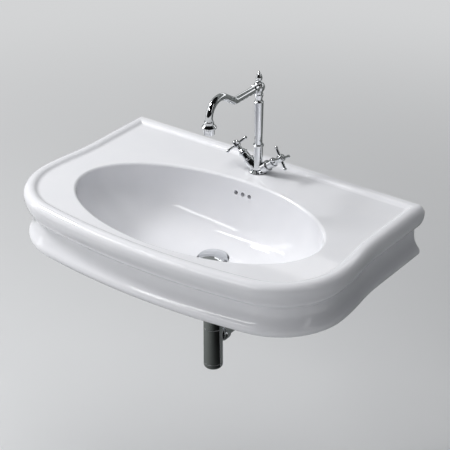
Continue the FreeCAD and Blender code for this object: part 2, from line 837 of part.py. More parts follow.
def make_tap_body():
    """V-shaped body: foot, bulb and neck on the tap axis, and an arm to each valve."""
    base = size.foot_seal_height
    bulb = base + size.foot_height
    socket = size.spigot_diameter / 2 + size.running_gap
    body = turned("tap_body", [
        (0, base),
        (size.foot_diameter / 2, base),
        (size.foot_diameter / 2, base + size.foot_height / 3),
        (size.bulb_diameter / 2, bulb),
        (size.bulb_diameter / 2, bulb + size.foot_height),
        (size.neck_diameter / 2, size.bulb_height),
        (size.neck_diameter / 2, size.neck_top),
        (socket, size.neck_top),
        (socket, size.neck_top - size.neck_socket),
        (0, size.neck_top - size.neck_socket),
    ])
    for side, name in ((-1, "Hot"), (1, "Cold")):
        spin(body, "Revolution", name + "Arm", arm_sketch(body, name + "ArmProfile", side), [
            (0, size.arm_start),
            (size.arm_root_diameter / 2, size.arm_root),
            (size.arm_diameter / 2, size.arm_end),
            (0, size.arm_end),
        ])
        spin(body, "Groove", name + "Seat", arm_sketch(body, name + "SeatProfile", side),
             rect(0, size.valve_start, size.valve_diameter / 2, size.arm_end))
    place(body, on_deck())


def make_valve(name, side, rest_turn):
    """One valve: collar, bonnet and cartridge on the arm, and the spindle and handle that turn."""
    valve = size.valve_diameter / 2
    stem = size.spindle_diameter / 2
    easy = stem + size.running_gap
    edge = size.edge_break
    collar = size.collar_diameter / 2
    collar_end = size.arm_end + size.collar_length
    cap = size.bonnet_end - size.bonnet_cap
    flange = size.bonnet_end - size.bonnet_flange_length
    barrel = size.bonnet_diameter / 2
    brim = size.bonnet_flange / 2
    tip = cap - size.spindle_depth
    start = size.bonnet_end + size.handle_gap
    top = start + size.hub_length
    button = size.button_diameter / 2
    fixed = [
        turned(f"{name}_collar", [
            (valve, size.arm_end),
            (collar - edge, size.arm_end),
            (collar, size.arm_end + edge),
            (collar, collar_end - edge),
            (collar - edge, collar_end),
            (valve, collar_end),
        ]),
        turned(f"{name}_bonnet", [
            (valve, collar_end),
            (barrel, collar_end),
            (barrel, flange - edge),
            (brim, flange),
            (brim, size.bonnet_end - edge),
            (brim - edge, size.bonnet_end),
            (easy, size.bonnet_end),
            (easy, cap),
            (valve, cap),
        ]),
        turned(f"{name}_cartridge", [
            (0, size.valve_start),
            (valve - size.running_gap, size.valve_start),
            (valve - size.running_gap, cap),
            (easy, cap),
            (easy, tip),
            (0, tip),
        ]),
    ]
    turning = [
        turned(f"{name}_spindle", rect(0, tip + size.swivel_gap, stem, top - size.hub_roof)),
        make_handle(f"{name}_handle", start, top),
        turned(f"{name}_button", [
            (0, top),
            (button, top),
            (button, top + size.button_edge, dome_radius(button, size.button_dome)),
            (0, top + size.button_edge + size.button_dome),
        ]),
    ]
    tilt = ((0, 1, 0), side * size.arm_tilt)
    for piece in fixed:
        place(piece, on_deck(size.arm_meet), tilt)
    for piece in turning:
        place(piece, on_deck(size.arm_meet), tilt, ((0, 0, 1), rest_turn))


def make_handle(label, start, top):
    """Cross handle: a waisted hub bored for the spindle, and four spokes that end in knobs."""
    stem = size.spindle_diameter / 2
    waist = size.hub_waist / 2
    boss = size.hub_diameter / 2
    knob = size.knob_diameter / 2
    edge = size.edge_break
    cone = start + size.hub_skirt + size.hub_cone
    shoulder = size.spoke_plane - size.hub_shoulder
    body = turned(label, [
        (stem, start),
        (boss, start),
        (boss, start + size.hub_skirt),
        (waist, cone),
        (waist, shoulder - size.hub_skirt),
        (boss, shoulder),
        (boss, top - edge),
        (boss - edge, top),
        (0, top),
        (0, top - size.hub_roof),
        (stem, top - size.hub_roof),
    ])
    sketch = sketch_on(body, "XZ_Plane", "SpokeProfile")
    bind(sketch, "AttachmentOffset.Base.y", size.spoke_plane)
    slim = knob * sine(size.knob_joint)
    spoke = spin(body, "Revolution", "Spoke", sketch, [
        (waist, 0),
        (size.spoke_length + knob, 0, knob),
        (size.spoke_length - knob * cosine(size.knob_joint), slim),
        (waist, slim),
    ], "H_Axis")
    repeat_round(body, spoke, 4)
    return body


def make_column():
    """Ring and tapered column on the neck, closed at the top by a waist and a cup."""
    spigot = size.spigot_diameter / 2
    bore = size.column_bore / 2
    low = size.column_low_diameter / 2
    ring_top = size.neck_top + size.column_ring_height
    edge = size.edge_break
    rim = size.column_ring_diameter / 2
    waist = size.column_top + size.column_waist_height
    cup = waist + size.cup_height
    column = turned("column", [
        (bore, size.neck_top - size.neck_socket + size.running_gap),
        (spigot, size.neck_top - size.neck_socket + size.running_gap),
        (spigot, size.neck_top),
        (low, size.neck_top),
        (low, ring_top),
        (size.column_high_diameter / 2, size.column_top, -size.column_waist_radius),
        (size.column_waist / 2, waist),
        (size.cup_diameter / 2, cup),
        (size.cup_diameter / 2, cup + size.cup_edge),
        (bore, cup + size.cup_edge),
    ])
    column_ring = turned("column_ring", [
        (low + size.running_gap, size.neck_top),
        (rim - edge, size.neck_top),
        (rim, size.neck_top + edge),
        (rim, ring_top - edge),
        (rim - edge, ring_top),
        (low + size.running_gap, ring_top),
    ])
    place(column, on_deck())
    place(column_ring, on_deck())
    return cup + size.cup_edge


def seal_groove(radius, height):
    """Four points of a square groove, a little wider than the seal that lies in it."""
    half = size.seal_groove / 2
    floor = radius - size.seal_section
    return [(radius, height - half), (floor, height - half), (floor, height + half), (radius, height + half)]


def make_swivel(seat):
    """Spigot with two seals on the column, the ball hub that turns on it, and the finial."""
    spigot = size.spigot_diameter / 2
    inner = size.spigot_bore / 2
    ball = size.ball_diameter / 2
    neck = size.ball_neck / 2
    head = size.ball_height + size.ball_head
    cap = head + size.swivel_gap
    thread_end = cap + size.spigot_thread_length
    bore_end = size.ball_height + size.spigot_port
    low_seal = size.ball_height - size.seal_spread
    high_seal = size.ball_height + size.seal_spread
    post = turned("swivel_spigot", [
        (inner, seat - size.spigot_depth),
        (size.column_bore / 2 - size.running_gap, seat - size.spigot_depth),
        (size.column_bore / 2 - size.running_gap, seat),
        (spigot, seat),
        *seal_groove(spigot, low_seal),
        *seal_groove(spigot, high_seal),
        (spigot, cap),
        (size.spigot_thread / 2, cap),
        (size.spigot_thread / 2, thread_end),
        (0, thread_end),
        (0, bore_end),
        (inner, bore_end),
    ])
    round_feature(post, "Pocket", "WaterPort", "XZ_Plane", [(0, size.ball_height)],
                  size.spigot_port, size.spigot_diameter, Midplane=True)
    place(post, on_deck())
    ring_middle = spigot - size.seal_section / 2
    for name, height in (("lower_swivel_seal", low_seal), ("upper_swivel_seal", high_seal)):
        seal = new_body(name)
        sketch = sketch_on(seal, "XZ_Plane", "SealSection")
        sketch_circle(sketch, (ring_middle, height), size.seal_section)
        turned_seal = feature(seal, "Revolution", "Seal", sketch)
        turned_seal.ReferenceAxis = (sketch, ["V_Axis"])
        place(seal, on_deck())

    foot = seat + size.swivel_gap
    joint = ball * sine(size.ball_joint)
    hub = turned("spout_hub", [
        (0, foot),
        (neck, foot),
        (neck, size.ball_height - joint, ball),
        (neck, size.ball_height + joint),
        (neck, head),
        (0, head),
    ])
    round_feature(hub, "Pad", "Socket", "XZ_Plane", [(0, size.ball_height)],
                  size.socket_diameter, size.socket_reach)
    round_feature(hub, "Pocket", "SocketBore", "XZ_Plane", [(0, size.ball_height)],
                  size.socket_bore, size.socket_reach, Reversed=True)
    round_feature(hub, "Pocket", "SwivelBore", "XY_Plane", [(0, 0)],
                  size.spigot_diameter + 2 * size.running_gap, head - foot, head)
    place(hub, on_deck())

    waist = cap + size.finial_waist_height
    finial = turned("finial", [
        (size.spigot_thread / 2, cap),
        (size.finial_base / 2, cap),
        (size.finial_base / 2, cap + size.finial_base_height),
        (size.finial_waist / 2, waist, size.finial_shoulder_radius),
        (size.finial_diameter / 2, cap + size.finial_widest, size.finial_flank_radius),
        (size.finial_point / 2, cap + size.finial_point_height),
        (0, cap + size.finial_height),
        (0, thread_end),
        (size.spigot_thread / 2, thread_end),
    ])
    place(finial, on_deck())


def make_spout():
    """Swan-neck tube from the ball hub, its socket nut, and the outlet with the aerator."""
    tube = size.tube_diameter / 2
    edge = size.edge_break
    nut = size.spout_nut_diameter / 2
    nut_end = size.socket_reach + size.spout_nut_length
    socket_nut = turned("spout_nut", [
        (tube + size.running_gap, size.socket_reach),
        (nut - edge, size.socket_reach),
        (nut, size.socket_reach + edge),
        (nut, nut_end - edge),
        (nut - edge, nut_end),
        (tube + size.running_gap, nut_end),
    ])
    place(socket_nut, on_deck(size.ball_height), ((1, 0, 0), as_dim(90)))

    rise = size.kink_turn
    half_turn = rise / 2
    cut = size.kink_radius * sine(half_turn) / cosine(half_turn)
    swan_reach = size.outlet_reach - size.swan_radius
    crest_reach = swan_reach - size.swan_radius * sine(rise)
    crest_up = (crest_reach - size.kink_reach) * sine(rise) / cosine(rise)
    swan_up = crest_up - size.swan_radius * cosine(rise)
    body = new_body("spout_tube")
    path = trace(sketch_on(body, "YZ_Plane", "SpoutPath"), [
        (-size.socket_reach, 0),
        (cut - size.kink_reach, 0, -size.kink_radius),
        (-size.kink_reach - cut * cosine(rise), cut * sine(rise)),
        (-crest_reach, crest_up, size.swan_radius),
        (-size.outlet_reach, swan_up),
        (-size.outlet_reach, -size.tube_end_drop),
    ], closed=False)
    section = sketch_on(body, "XZ_Plane", "TubeSection", size.socket_reach)
    for diameter in (size.tube_diameter, size.tube_bore):
        sketch_circle(section, (0, 0), diameter)
    swept = feature(body, "AdditivePipe", "Tube", section)
    doc.recompute()
    swept.Spine = (path, [f"Edge{i + 1}" for i in range(5)])
    place(body, on_deck(size.ball_height))

    end = -size.tube_end_drop
    sleeve = size.sleeve_diameter / 2
    flare = size.flare_diameter / 2
    bore = size.tube_bore / 2
    joint = end - size.aerator_drop
    outlet_ring = turned("outlet_ring", [
        (bore, joint),
        (size.aerator_diameter / 2, joint),
        (flare, end - size.flare_drop - size.flare_edge),
        (flare, end - size.flare_drop),
        (sleeve, end),
        (sleeve, end + size.sleeve_length),
        (tube + size.running_gap, end + size.sleeve_length),
        (tube + size.running_gap, end),
        (bore, end),
    ])
    tip = joint - size.aerator_length
    housing = turned("aerator_housing", [
        (size.aerator_bore / 2, tip),
        (size.aerator_tip_diameter / 2, tip),
        (size.aerator_diameter / 2, joint),
        (size.aerator_bore / 2, joint),
    ])
    low = tip + size.insert_set_back
    insert = turned("aerator_insert", rect(
        0, low, size.aerator_bore / 2 - size.running_gap, low + size.insert_height))
    jet = round_feature(insert, "Pocket", "Jet", "XY_Plane", [(size.jet_circle, 0)],
                        size.jet_diameter, size.insert_height, low + size.insert_height)
    repeat_round(insert, jet, 8)
    for piece in (outlet_ring, housing, insert):
        place(piece, (0, -size.tap_centre - size.outlet_reach, deck_level() + size.ball_height))


def make_waste():
    """Pop-up waste clamped in the bowl: body, seals, nut, guide, and the plug that travels."""
    tube = size.waste_tube / 2
    bore = size.waste_bore / 2
    flange = size.waste_flange / 2
    top = size.waste_seal + size.waste_flange_height
    waste = turned("waste_body", [
        (bore, -size.waste_length),
        (tube, -size.waste_length),
        (tube, size.waste_seal),
        (flange, size.waste_seal),
        (flange, top - size.edge_break),
        (flange - size.edge_break, top),
        (size.waste_dish / 2, top - size.waste_dish_depth),
        (bore, size.waste_seal),
    ])
    half = size.window_width / 2
    pad_outline(waste, "OverflowWindows", "XZ_Plane", rect(-half, size.window_low, half, size.window_high),
                size.waste_flange, kind="Pocket", Midplane=True)
    boss = size.waste_seat_depth - size.waste_boss_drop
    nut = boss - size.waste_low_seal
    loose = size.waste_tube + 2 * size.loose_fit
    guide_top = -size.guide_drop
    guide_low = guide_top - size.guide_height
    stem = size.stem_diameter / 2
    guide = turned("plug_guide", rect(
        stem + size.running_gap, guide_low, size.guide_hub / 2, guide_top))
    arm = pad_outline(guide, "Arm", "XY_Plane", rect(
        size.guide_hub / 2 - size.edge_break, -size.guide_arm / 2,
        tube, size.guide_arm / 2), size.guide_height, Reversed=True)
    bind(arm.Profile[0], "AttachmentOffset.Base.z", guide_top)
    repeat_round(guide, arm, 3)
    spin(guide, "Groove", "Trim", sketch_on(guide, "XZ_Plane", "TrimProfile"),
         rect(bore, guide_low, flange, guide_top))
    seal_low = top + size.swivel_gap + size.plug_travel
    cap_low = seal_low + size.plug_seal_height
    cap = size.plug_diameter / 2
    plug = turned("plug_cap", [
        (0, cap_low),
        (cap, cap_low),
        (cap, cap_low + size.plug_edge, dome_radius(cap, size.plug_dome)),
        (0, cap_low + size.plug_edge + size.plug_dome),
    ])
    for piece in (
        waste,
        ring("waste_top_seal", size.waste_flange, loose, 0, size.waste_seal),
        ring("waste_low_seal", size.waste_flange, loose, nut, boss),
        hex_nut("waste_nut", size.waste_nut_flats, size.waste_tube, nut - size.waste_nut_height, nut),
        guide,
        plug,
        ring("plug_seal", size.plug_seal_diameter, size.stem_diameter, seal_low, cap_low),
        turned("plug_stem", rect(0, cap_low - size.stem_length, stem, cap_low)),
    ):
        place(piece, at_waste(floor_level() - size.waste_seat_depth))
    return floor_level() - size.waste_seat_depth - size.waste_length


def make_trap(waste_end):
    """Bottle trap: coupling to the waste, dip tube, bottle, bottom cap, and the pipe to the wall."""
    pipe = size.pipe_diameter / 2
    bore = pipe - size.pipe_wall
    body = size.trap_diameter / 2
    neck = size.trap_neck / 2
    edge = size.edge_break
    easy = pipe + size.pipe_clearance
    coupling = size.coupling_diameter / 2
    thread = size.waste_tube / 2
    coupling_low = waste_end - size.coupling_below
    flange_top = waste_end - size.coupling_seal
    flange_low = flange_top - size.dip_flange
    nut_low = size.trap_top + size.trap_groove
    nut_top = nut_low + size.trap_nut_height
    neck_top = size.trap_top + size.trap_neck_height
    cap_top = size.trap_foot + size.trap_cap_height
    hollow = body - size.trap_wall
    spigot = hollow - size.pipe_clearance
    cup = spigot - size.trap_cap_wall / 2
    upright = [
        turned("coupling_nut", [
            (easy, coupling_low),
            (coupling - edge, coupling_low),
            (coupling, coupling_low + edge),
            (coupling, waste_end + size.coupling_above - edge),
            (coupling - edge, waste_end + size.coupling_above),
            (thread, waste_end + size.coupling_above),
            (thread, flange_low),
            (easy, flange_low),
        ]),
        ring("coupling_seal", size.waste_tube - 2 * size.running_gap, 2 * bore, flange_top, waste_end),
        turned("dip_tube", [
            (bore, size.dip_end),
            (pipe, size.dip_end),
            (pipe, flange_low),
            (thread - size.pipe_clearance, flange_low),
            (thread - size.pipe_clearance, flange_top),
            (bore, flange_top),
        ]),
        turned("trap_top_nut", [
            (neck, nut_low),
            (body, nut_low),
            (body, nut_top - edge),
            (body - edge, nut_top),
            (easy, nut_top),
            (easy, nut_top - size.nut_lip),
            (neck, nut_top - size.nut_lip),
        ]),
        ring("trap_top_seal", size.trap_neck - 2 * size.running_gap, size.pipe_diameter,
             neck_top, nut_top - size.nut_lip),
        make_bottle(cap_top + size.trap_seal, neck_top),
        ring("trap_bottom_seal", size.trap_diameter - edge, 2 * hollow, cap_top, cap_top + size.trap_seal),
        turned("trap_bottom_cap", [
            (0, size.trap_foot),
            (body - size.trap_round, size.trap_foot, size.trap_round),
            (body, size.trap_foot + size.trap_round),
            (body, cap_top),
            (spigot, cap_top),
            (spigot, cap_top + size.trap_spigot),
            (cup, cap_top + size.trap_spigot),
            (cup, size.trap_foot + size.trap_cap_wall),
            (0, size.trap_foot + size.trap_cap_wall),
        ]),
    ]
    for piece in upright:
        place(piece, at_waste(0))

    reach = size.outlet_boss_reach
    boss = size.outlet_boss / 2
    nut_end = size.outlet_nut_start + size.outlet_nut_length
    grip = nut_end - size.nut_lip
    outer = size.outlet_nut_diameter / 2
    wall = size.waste_centre
    tail = size.wall_tail_diameter / 2
    rose = size.wall_flange_diameter / 2
    collar = size.wall_flange_collar / 2
    level = [
        turned("outlet_nut", [
            (boss, size.outlet_nut_start),
            (outer - edge, size.outlet_nut_start),
            (outer, size.outlet_nut_start + edge),
            (outer, nut_end - edge),
            (outer - edge, nut_end),
            (easy, nut_end),
            (easy, grip),
            (boss, grip),
        ]),
        ring("outlet_seal", size.outlet_boss - 2 * size.running_gap, size.pipe_diameter, reach, grip),
        turned("outlet_pipe", [
            (bore, reach - size.outlet_socket),
            (pipe, reach - size.outlet_socket),
            (pipe, wall + size.wall_tail_start),
            (tail, wall + size.wall_tail_start),
            (tail, wall + size.wall_pipe),
            (bore, wall + size.wall_pipe),
        ]),
        turned("wall_flange", [
            (pipe + size.running_gap, wall - size.wall_flange_height),
            (collar, wall - size.wall_flange_height),
            (collar, wall - size.wall_flange_height + size.wall_flange_edge, -2 * rose),
            (rose, wall - size.wall_flange_edge),
            (rose, wall),
            (pipe + size.running_gap, wall),
        ]),
    ]
    for piece in level:
        place(piece, at_waste(size.outlet_height), ((1, 0, 0), as_dim(-90)))


def make_bottle(low, neck_top):
    """Bottle of the trap: a thin shell with a threaded neck and a side socket for the outlet."""
    outer = size.trap_diameter / 2
    neck = size.trap_neck / 2
    inner = outer - size.trap_wall
    throat = size.pipe_diameter / 2 + size.pipe_clearance
    bottle = turned("trap_body", [
        (0, low),
        (outer, low),
        (outer, size.trap_top),
        (neck, size.trap_top),
        (neck, neck_top),
        (0, neck_top),
    ])
    spot = [(0, size.outlet_height)]
    round_feature(bottle, "Pad", "OutletBoss", "XZ_Plane", spot, size.outlet_boss,
                  size.outlet_boss_reach, Reversed=True)
    spin(bottle, "Groove", "Hollow", sketch_on(bottle, "XZ_Plane", "HollowProfile"), [
        (0, low),
        (inner, low),
        (inner, size.trap_top - 2 * size.trap_shoulder),
        (throat, size.trap_top - size.trap_shoulder),
        (throat, neck_top),
        (0, neck_top),
    ])
    round_feature(bottle, "Pocket", "OutletBore", "XZ_Plane", spot,
                  size.pipe_diameter - 2 * size.pipe_wall, size.outlet_boss_reach)
    round_feature(bottle, "Pocket", "OutletSocket", "XZ_Plane", spot,
                  size.pipe_diameter + 2 * size.running_gap, size.outlet_socket,
                  size.outlet_socket - size.outlet_boss_reach)
    return bottle


def check_and_write():
    """Stops on any failed feature or bad solid, then writes one file for each piece."""
    failed = [thing.Name for thing in doc.Objects if {"Invalid", "Error"} & set(thing.State)]
    failed += [piece.Label for piece in pieces
               if piece.Shape.isNull() or not piece.Shape.isValid() or len(piece.Shape.Solids) != 1]
    if failed:
        raise RuntimeError("failed: " + ", ".join(failed))
    os.makedirs("parts", exist_ok=True)
    for piece in pieces:
        piece.Shape.exportStep(f"parts/{piece.Label}.step")


make_basin()
make_tap_mounting()
make_tap_body()
make_valve("hot", -1, size.hot_rest_turn)
make_valve("cold", 1, size.cold_rest_turn)
make_swivel(make_column())
make_spout()
make_trap(make_waste())
doc.recompute()
check_and_write()
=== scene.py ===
import json
import math
import bmesh
import bpy
import numpy as np
from mathutils import Matrix, Vector


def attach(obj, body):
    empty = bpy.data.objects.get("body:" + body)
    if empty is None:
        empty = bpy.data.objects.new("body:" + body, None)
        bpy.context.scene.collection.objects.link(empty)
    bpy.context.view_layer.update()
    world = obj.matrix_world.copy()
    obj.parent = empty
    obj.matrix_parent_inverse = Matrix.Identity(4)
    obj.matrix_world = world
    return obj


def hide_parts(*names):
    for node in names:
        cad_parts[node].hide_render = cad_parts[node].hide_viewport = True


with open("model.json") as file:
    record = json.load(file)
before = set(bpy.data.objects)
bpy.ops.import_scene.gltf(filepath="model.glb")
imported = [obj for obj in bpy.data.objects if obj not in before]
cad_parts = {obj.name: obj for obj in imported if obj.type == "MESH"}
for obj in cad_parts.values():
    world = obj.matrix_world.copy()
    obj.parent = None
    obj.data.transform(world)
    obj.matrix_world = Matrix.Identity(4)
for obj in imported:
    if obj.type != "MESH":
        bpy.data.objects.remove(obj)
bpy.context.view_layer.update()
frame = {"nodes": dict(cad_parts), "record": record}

MM = 0.001


# Materials

def linear(hex_colour):
    """An sRGB hex value as the linear colour that a shader takes."""
    parts = [int(hex_colour[i:i + 2], 16) / 255 for i in (1, 3, 5)]
    return tuple(p / 12.92 if p <= 0.04045 else ((p + 0.055) / 1.055) ** 2.4 for p in parts) + (1.0,)


def add(tree, kind, settings=None, links=None):
    """One node with its settings, and links that give an input socket and the output that feeds it."""
    made = tree.nodes.new(kind)
    for name, setting in (settings or {}).items():
        if isinstance(name, int) or name in made.inputs:
            made.inputs[name].default_value = setting
        else:
            setattr(made, name, setting)
    for socket, source in (links or {}).items():
        tree.links.new(source, made.inputs[socket])
    return made


def new_material(name, surface):
    """A material with a Principled shader that has these fixed values."""
    made = bpy.data.materials.new(name)
    made.use_nodes = True
    tree = made.node_tree
    tree.nodes.clear()
    shader = add(tree, "ShaderNodeBsdfPrincipled", surface)
    add(tree, "ShaderNodeOutputMaterial", links={"Surface": shader.outputs["BSDF"]})
    where = add(tree, "ShaderNodeTexCoord").outputs["Object"]
    return made, tree, shader, where


def waves_per_metre(width_mm):
    """Noise scale at which one feature is about width_mm across."""
    return 1000.0 / width_mm


NOISE_SPAN = 0.3, 0.7  # nearly all of a noise's values lie between these


def vary(tree, where, width_mm, low, high, detail=2.0):
    """Noise in patches about width_mm across: as it comes, and as a number from low to high."""
    noise = add(tree, "ShaderNodeTexNoise", {"Scale": waves_per_metre(width_mm), "Detail": detail},
                {"Vector": where})
    spread = add(tree, "ShaderNodeMapRange", {
        "From Min": NOISE_SPAN[0], "From Max": NOISE_SPAN[1], "To Min": low, "To Max": high},
        {"Value": noise.outputs["Fac"]})
    return noise.outputs["Fac"], spread.outputs["Result"]


def tint(tree, factor, first, second):
    """A colour between two hex values."""
    ramp = add(tree, "ShaderNodeValToRGB", links={"Fac": factor})
    ramp.color_ramp.elements[0].color = linear(first)
    ramp.color_ramp.elements[1].color = linear(second)
    return ramp.outputs["Color"]


def bump(tree, shader, height, depth_mm, strength=1.0):
    """Relief depth_mm high on the shader's surface."""
    made = add(tree, "ShaderNodeBump", {"Strength": strength, "Distance": depth_mm * MM}, {"Height": height})
    tree.links.new(made.outputs["Normal"], shader.inputs["Normal"])


UNGLAZED_ROUGHNESS = 0.75


def glazed_vitreous_china():
    """White glaze fired on vitreous china: a clear hard gloss over a very even white body.

    Pooling of the glaze shows as faint cool patches some 60 mm wide, and its skin as a slow
    waviness about 18 mm wide in the reflections. The back is ground flat and left unglazed,
    a matt warmer white.
    """
    made, tree, shader, where = new_material("glazed_vitreous_china", {"IOR": 1.52})
    patch, gloss = vary(tree, where, 60.0, 0.045, 0.075)
    white = tint(tree, patch, "#E9EAEE", "#EFEFF2")
    fine, _ = vary(tree, where, 1.6, 0.0, 1.0, 4.0)
    biscuit = tint(tree, fine, "#D2CEC5", "#DEDAD2")
    depth = add(tree, "ShaderNodeSeparateXYZ", links={"Vector": where}).outputs["Y"]
    ground = add(tree, "ShaderNodeMapRange", {"From Min": -0.6 * MM, "From Max": -0.1 * MM}, {"Value": depth})
    bare = ground.outputs["Result"]
    # A Mix node's sockets go by number: 0 is its factor, 2 and 3 are its numbers, 6 and 7 its colours.
    colour = add(tree, "ShaderNodeMix", {"data_type": "RGBA"}, {0: bare, 6: white, 7: biscuit})
    rough = add(tree, "ShaderNodeMix", {"data_type": "FLOAT", 3: UNGLAZED_ROUGHNESS}, {0: bare, 2: gloss})
    tree.links.new(colour.outputs[2], shader.inputs["Base Color"])
    tree.links.new(rough.outputs[0], shader.inputs["Roughness"])
    wave, _ = vary(tree, where, 18.0, 0.0, 1.0, 1.0)
    bump(tree, shader, wave, 0.05, 0.35)
    return made


def polished_chrome_plate():
    """Bright chrome plated on polished brass: a cool sharp shine with water marks and wiping haze.

    The haze lies in patches about 9 mm wide, and the polishing lines, finer than the render
    can show in the real thing, are drawn 1.2 mm wide.
    """
    made, tree, shader, where = new_material("polished_chrome_plate", {"Metallic": 1.0})
    haze, gloss = vary(tree, where, 9.0, 0.03, 0.075, 3.0)
    tree.links.new(tint(tree, haze, "#DFE1E3", "#E8EAEC"), shader.inputs["Base Color"])
    tree.links.new(gloss, shader.inputs["Roughness"])
    lines, _ = vary(tree, where, 1.2, 0.0, 1.0, 2.0)
    bump(tree, shader, lines, 0.004, 0.25)
    return made


def turned_brass():
    """Machined brass left bare: a soft yellow metal with tool lines round it and duller patches."""
    made, tree, shader, where = new_material("turned_brass", {"Metallic": 1.0})
    patch, gloss = vary(tree, where, 6.0, 0.22, 0.38, 3.0)
    tree.links.new(tint(tree, patch, "#A98645", "#C8A765"), shader.inputs["Base Color"])
    tree.links.new(gloss, shader.inputs["Roughness"])
    lines = add(tree, "ShaderNodeTexWave", {"Scale": waves_per_metre(0.9) / 20, "bands_direction": "Z"},
                {"Vector": where})
    bump(tree, shader, lines.outputs["Fac"], 0.01, 0.4)
    return made


def zinc_plated_steel():
    """Pressed steel with a thin zinc coat: a grey sheen with crystals about 2 mm across."""
    made, tree, shader, where = new_material("zinc_plated_steel", {"Metallic": 1.0})
    crystal = add(tree, "ShaderNodeTexVoronoi", {"Scale": waves_per_metre(2.0)}, {"Vector": where})
    tree.links.new(tint(tree, crystal.outputs["Distance"], "#9A9EA3", "#B9BCC0"), shader.inputs["Base Color"])
    _, gloss = vary(tree, where, 4.0, 0.28, 0.42)
    tree.links.new(gloss, shader.inputs["Roughness"])
    return made


def black_sealing_rubber():
    """Moulded black rubber: nearly black, dull, with a bloom in patches and a fine skin grain."""
    made, tree, shader, where = new_material("black_sealing_rubber", {"IOR": 1.5})
    patch, gloss = vary(tree, where, 5.0, 0.55, 0.75, 3.0)
    tree.links.new(tint(tree, patch, "#1B1B1C", "#2A2A2B"), shader.inputs["Base Color"])
    tree.links.new(gloss, shader.inputs["Roughness"])
    grain, _ = vary(tree, where, 0.7, 0.0, 1.0)
    bump(tree, shader, grain, 0.03, 0.5)
    return made


def moulded_acetal():
    """Injection-moulded acetal: a milky white plastic with a low sheen and a fine mould texture."""
    made, tree, shader, where = new_material("moulded_acetal", {"IOR": 1.48})
    patch, gloss = vary(tree, where, 7.0, 0.32, 0.46)
    tree.links.new(tint(tree, patch, "#DEDCD5", "#E8E6E0"), shader.inputs["Base Color"])
    tree.links.new(gloss, shader.inputs["Roughness"])
    grain, _ = vary(tree, where, 0.6, 0.0, 1.0)
    bump(tree, shader, grain, 0.01, 0.4)
    return made


CHINA = glazed_vitreous_china()
CHROME = polished_chrome_plate()
BRASS = turned_brass()
ZINC = zinc_plated_steel()
RUBBER = black_sealing_rubber()
ACETAL = moulded_acetal()
FINISH = {"glazed_ceramic": CHINA, "polished_chrome": CHROME, "bare_brass": BRASS,
          "zinc_steel": ZINC, "black_rubber": RUBBER, "white_plastic": ACETAL}


# Shared mesh work

def in_scene(name, data):
    """An object at the origin for this mesh, lamp or camera, linked to the scene."""
    made = bpy.data.objects.new(name, data)
    bpy.context.scene.collection.objects.link(made)
    return made


def new_object(name, points, faces, merge=0.002, slivers=0.0, place=None):
    """A mesh from points in millimetres, with doubles merged and faces turned outwards."""
    mesh = bpy.data.meshes.new(name)
    mesh.from_pydata([tuple(p) for p in np.asarray(points, float) * MM], [], faces)
    work = bmesh.new()
    work.from_mesh(mesh)
    bmesh.ops.remove_doubles(work, verts=work.verts, dist=merge * MM)
    if slivers:
        bmesh.ops.dissolve_degenerate(work, edges=work.edges, dist=slivers * MM)
    bmesh.ops.recalc_face_normals(work, faces=work.faces)
    work.to_mesh(mesh)
    work.free()
    if place:
        mesh.transform(place)
    return in_scene(name, mesh)


def settle(piece):
    """Replaces a piece's mesh by its evaluated one and drops the modifiers."""
    graph = bpy.context.evaluated_depsgraph_get()
    mesh = bpy.data.meshes.new_from_object(piece.evaluated_get(graph))
    old = piece.data
    piece.modifiers.clear()
    piece.data = mesh
    bpy.data.meshes.remove(old)


def combine(piece, others, operation):
    """Unites a piece with others, or cuts the others out of it, and removes the others."""
    tools = bpy.data.collections.new("tools")
    for other in others:
        tools.objects.link(other)
    cut = piece.modifiers.new("combine", "BOOLEAN")
    cut.operation = operation
    cut.operand_type = "COLLECTION"
    cut.collection = tools
    cut.solver = "EXACT"
    settle(piece)
    for other in others:
        bpy.data.objects.remove(other)
    bpy.data.collections.remove(tools)


def polish(piece, material, angle=32.0):
    """Smooth shading that stops at real edges and lets large faces lead the normals."""
    mesh = piece.data
    mesh.materials.clear()
    mesh.materials.append(material)
    mesh.polygons.foreach_set("material_index", [0] * len(mesh.polygons))
    mesh.shade_smooth()
    mesh.set_sharp_from_angle(angle=math.radians(angle))
    lead = piece.modifiers.new("lead_normals", "WEIGHTED_NORMAL")
    lead.keep_sharp = True
    lead.weight = 60
    settle(piece)


def fit(piece, body, slot, *nodes):
    """Puts a finished piece on its body in place of the CAD nodes that it stands for."""
    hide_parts(*nodes)
    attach(piece, body)


# Basin

ARC_STEP = 5.0  # degrees between the points of an arc

# Outline of the rim in plan: straight sides, then waist, shoulder, corner and front arcs.
BASIN_WIDTH, BASIN_DEPTH = 812.0, 511.0
BACK_HALF, SIDE_RUN = 393.0, 166.0
WAIST_RADIUS, SHOULDER_RADIUS, CORNER_RADIUS, FRONT_RADIUS = 507.0, 621.0, 166.0, 1587.0

# Rolled rim with its bead down to the deck. Along the back the bead lies LAND in and is narrower.
RIM_TOP, DECK, CREST_INSET, LAND = 85.0, 77.5, 17.0, 10.0
BEAD_ROUND, BEAD_TURN, BACK_SHARE = 16.0, 42.0, 0.75
BEAD_FOOT = (RIM_TOP - DECK) / (1 - math.cos(math.radians(BEAD_TURN))) - BEAD_ROUND

# Section from the crest outwards and down, as walk() reads it: the rim's round, its long underside,
# a tight turn, a straight, the cove and the lower lip.
APRON_RUNS = [(17.0, -90.0), (55.0, -51.0), (6.0, 51.0), (None, 10.0), (40.0, 46.0), (13.0, -136.0)]
LIP_WIDTH, DECK_THICKNESS, BACK_THICKNESS = 3.0, 13.0, 15.0
APRON_INSIDE = [(18.4, 112.5), (34.6, 82.4), (34.6, 64.4), (15.0, 35.0),
                (15.0, RIM_TOP - DECK + DECK_THICKNESS)]

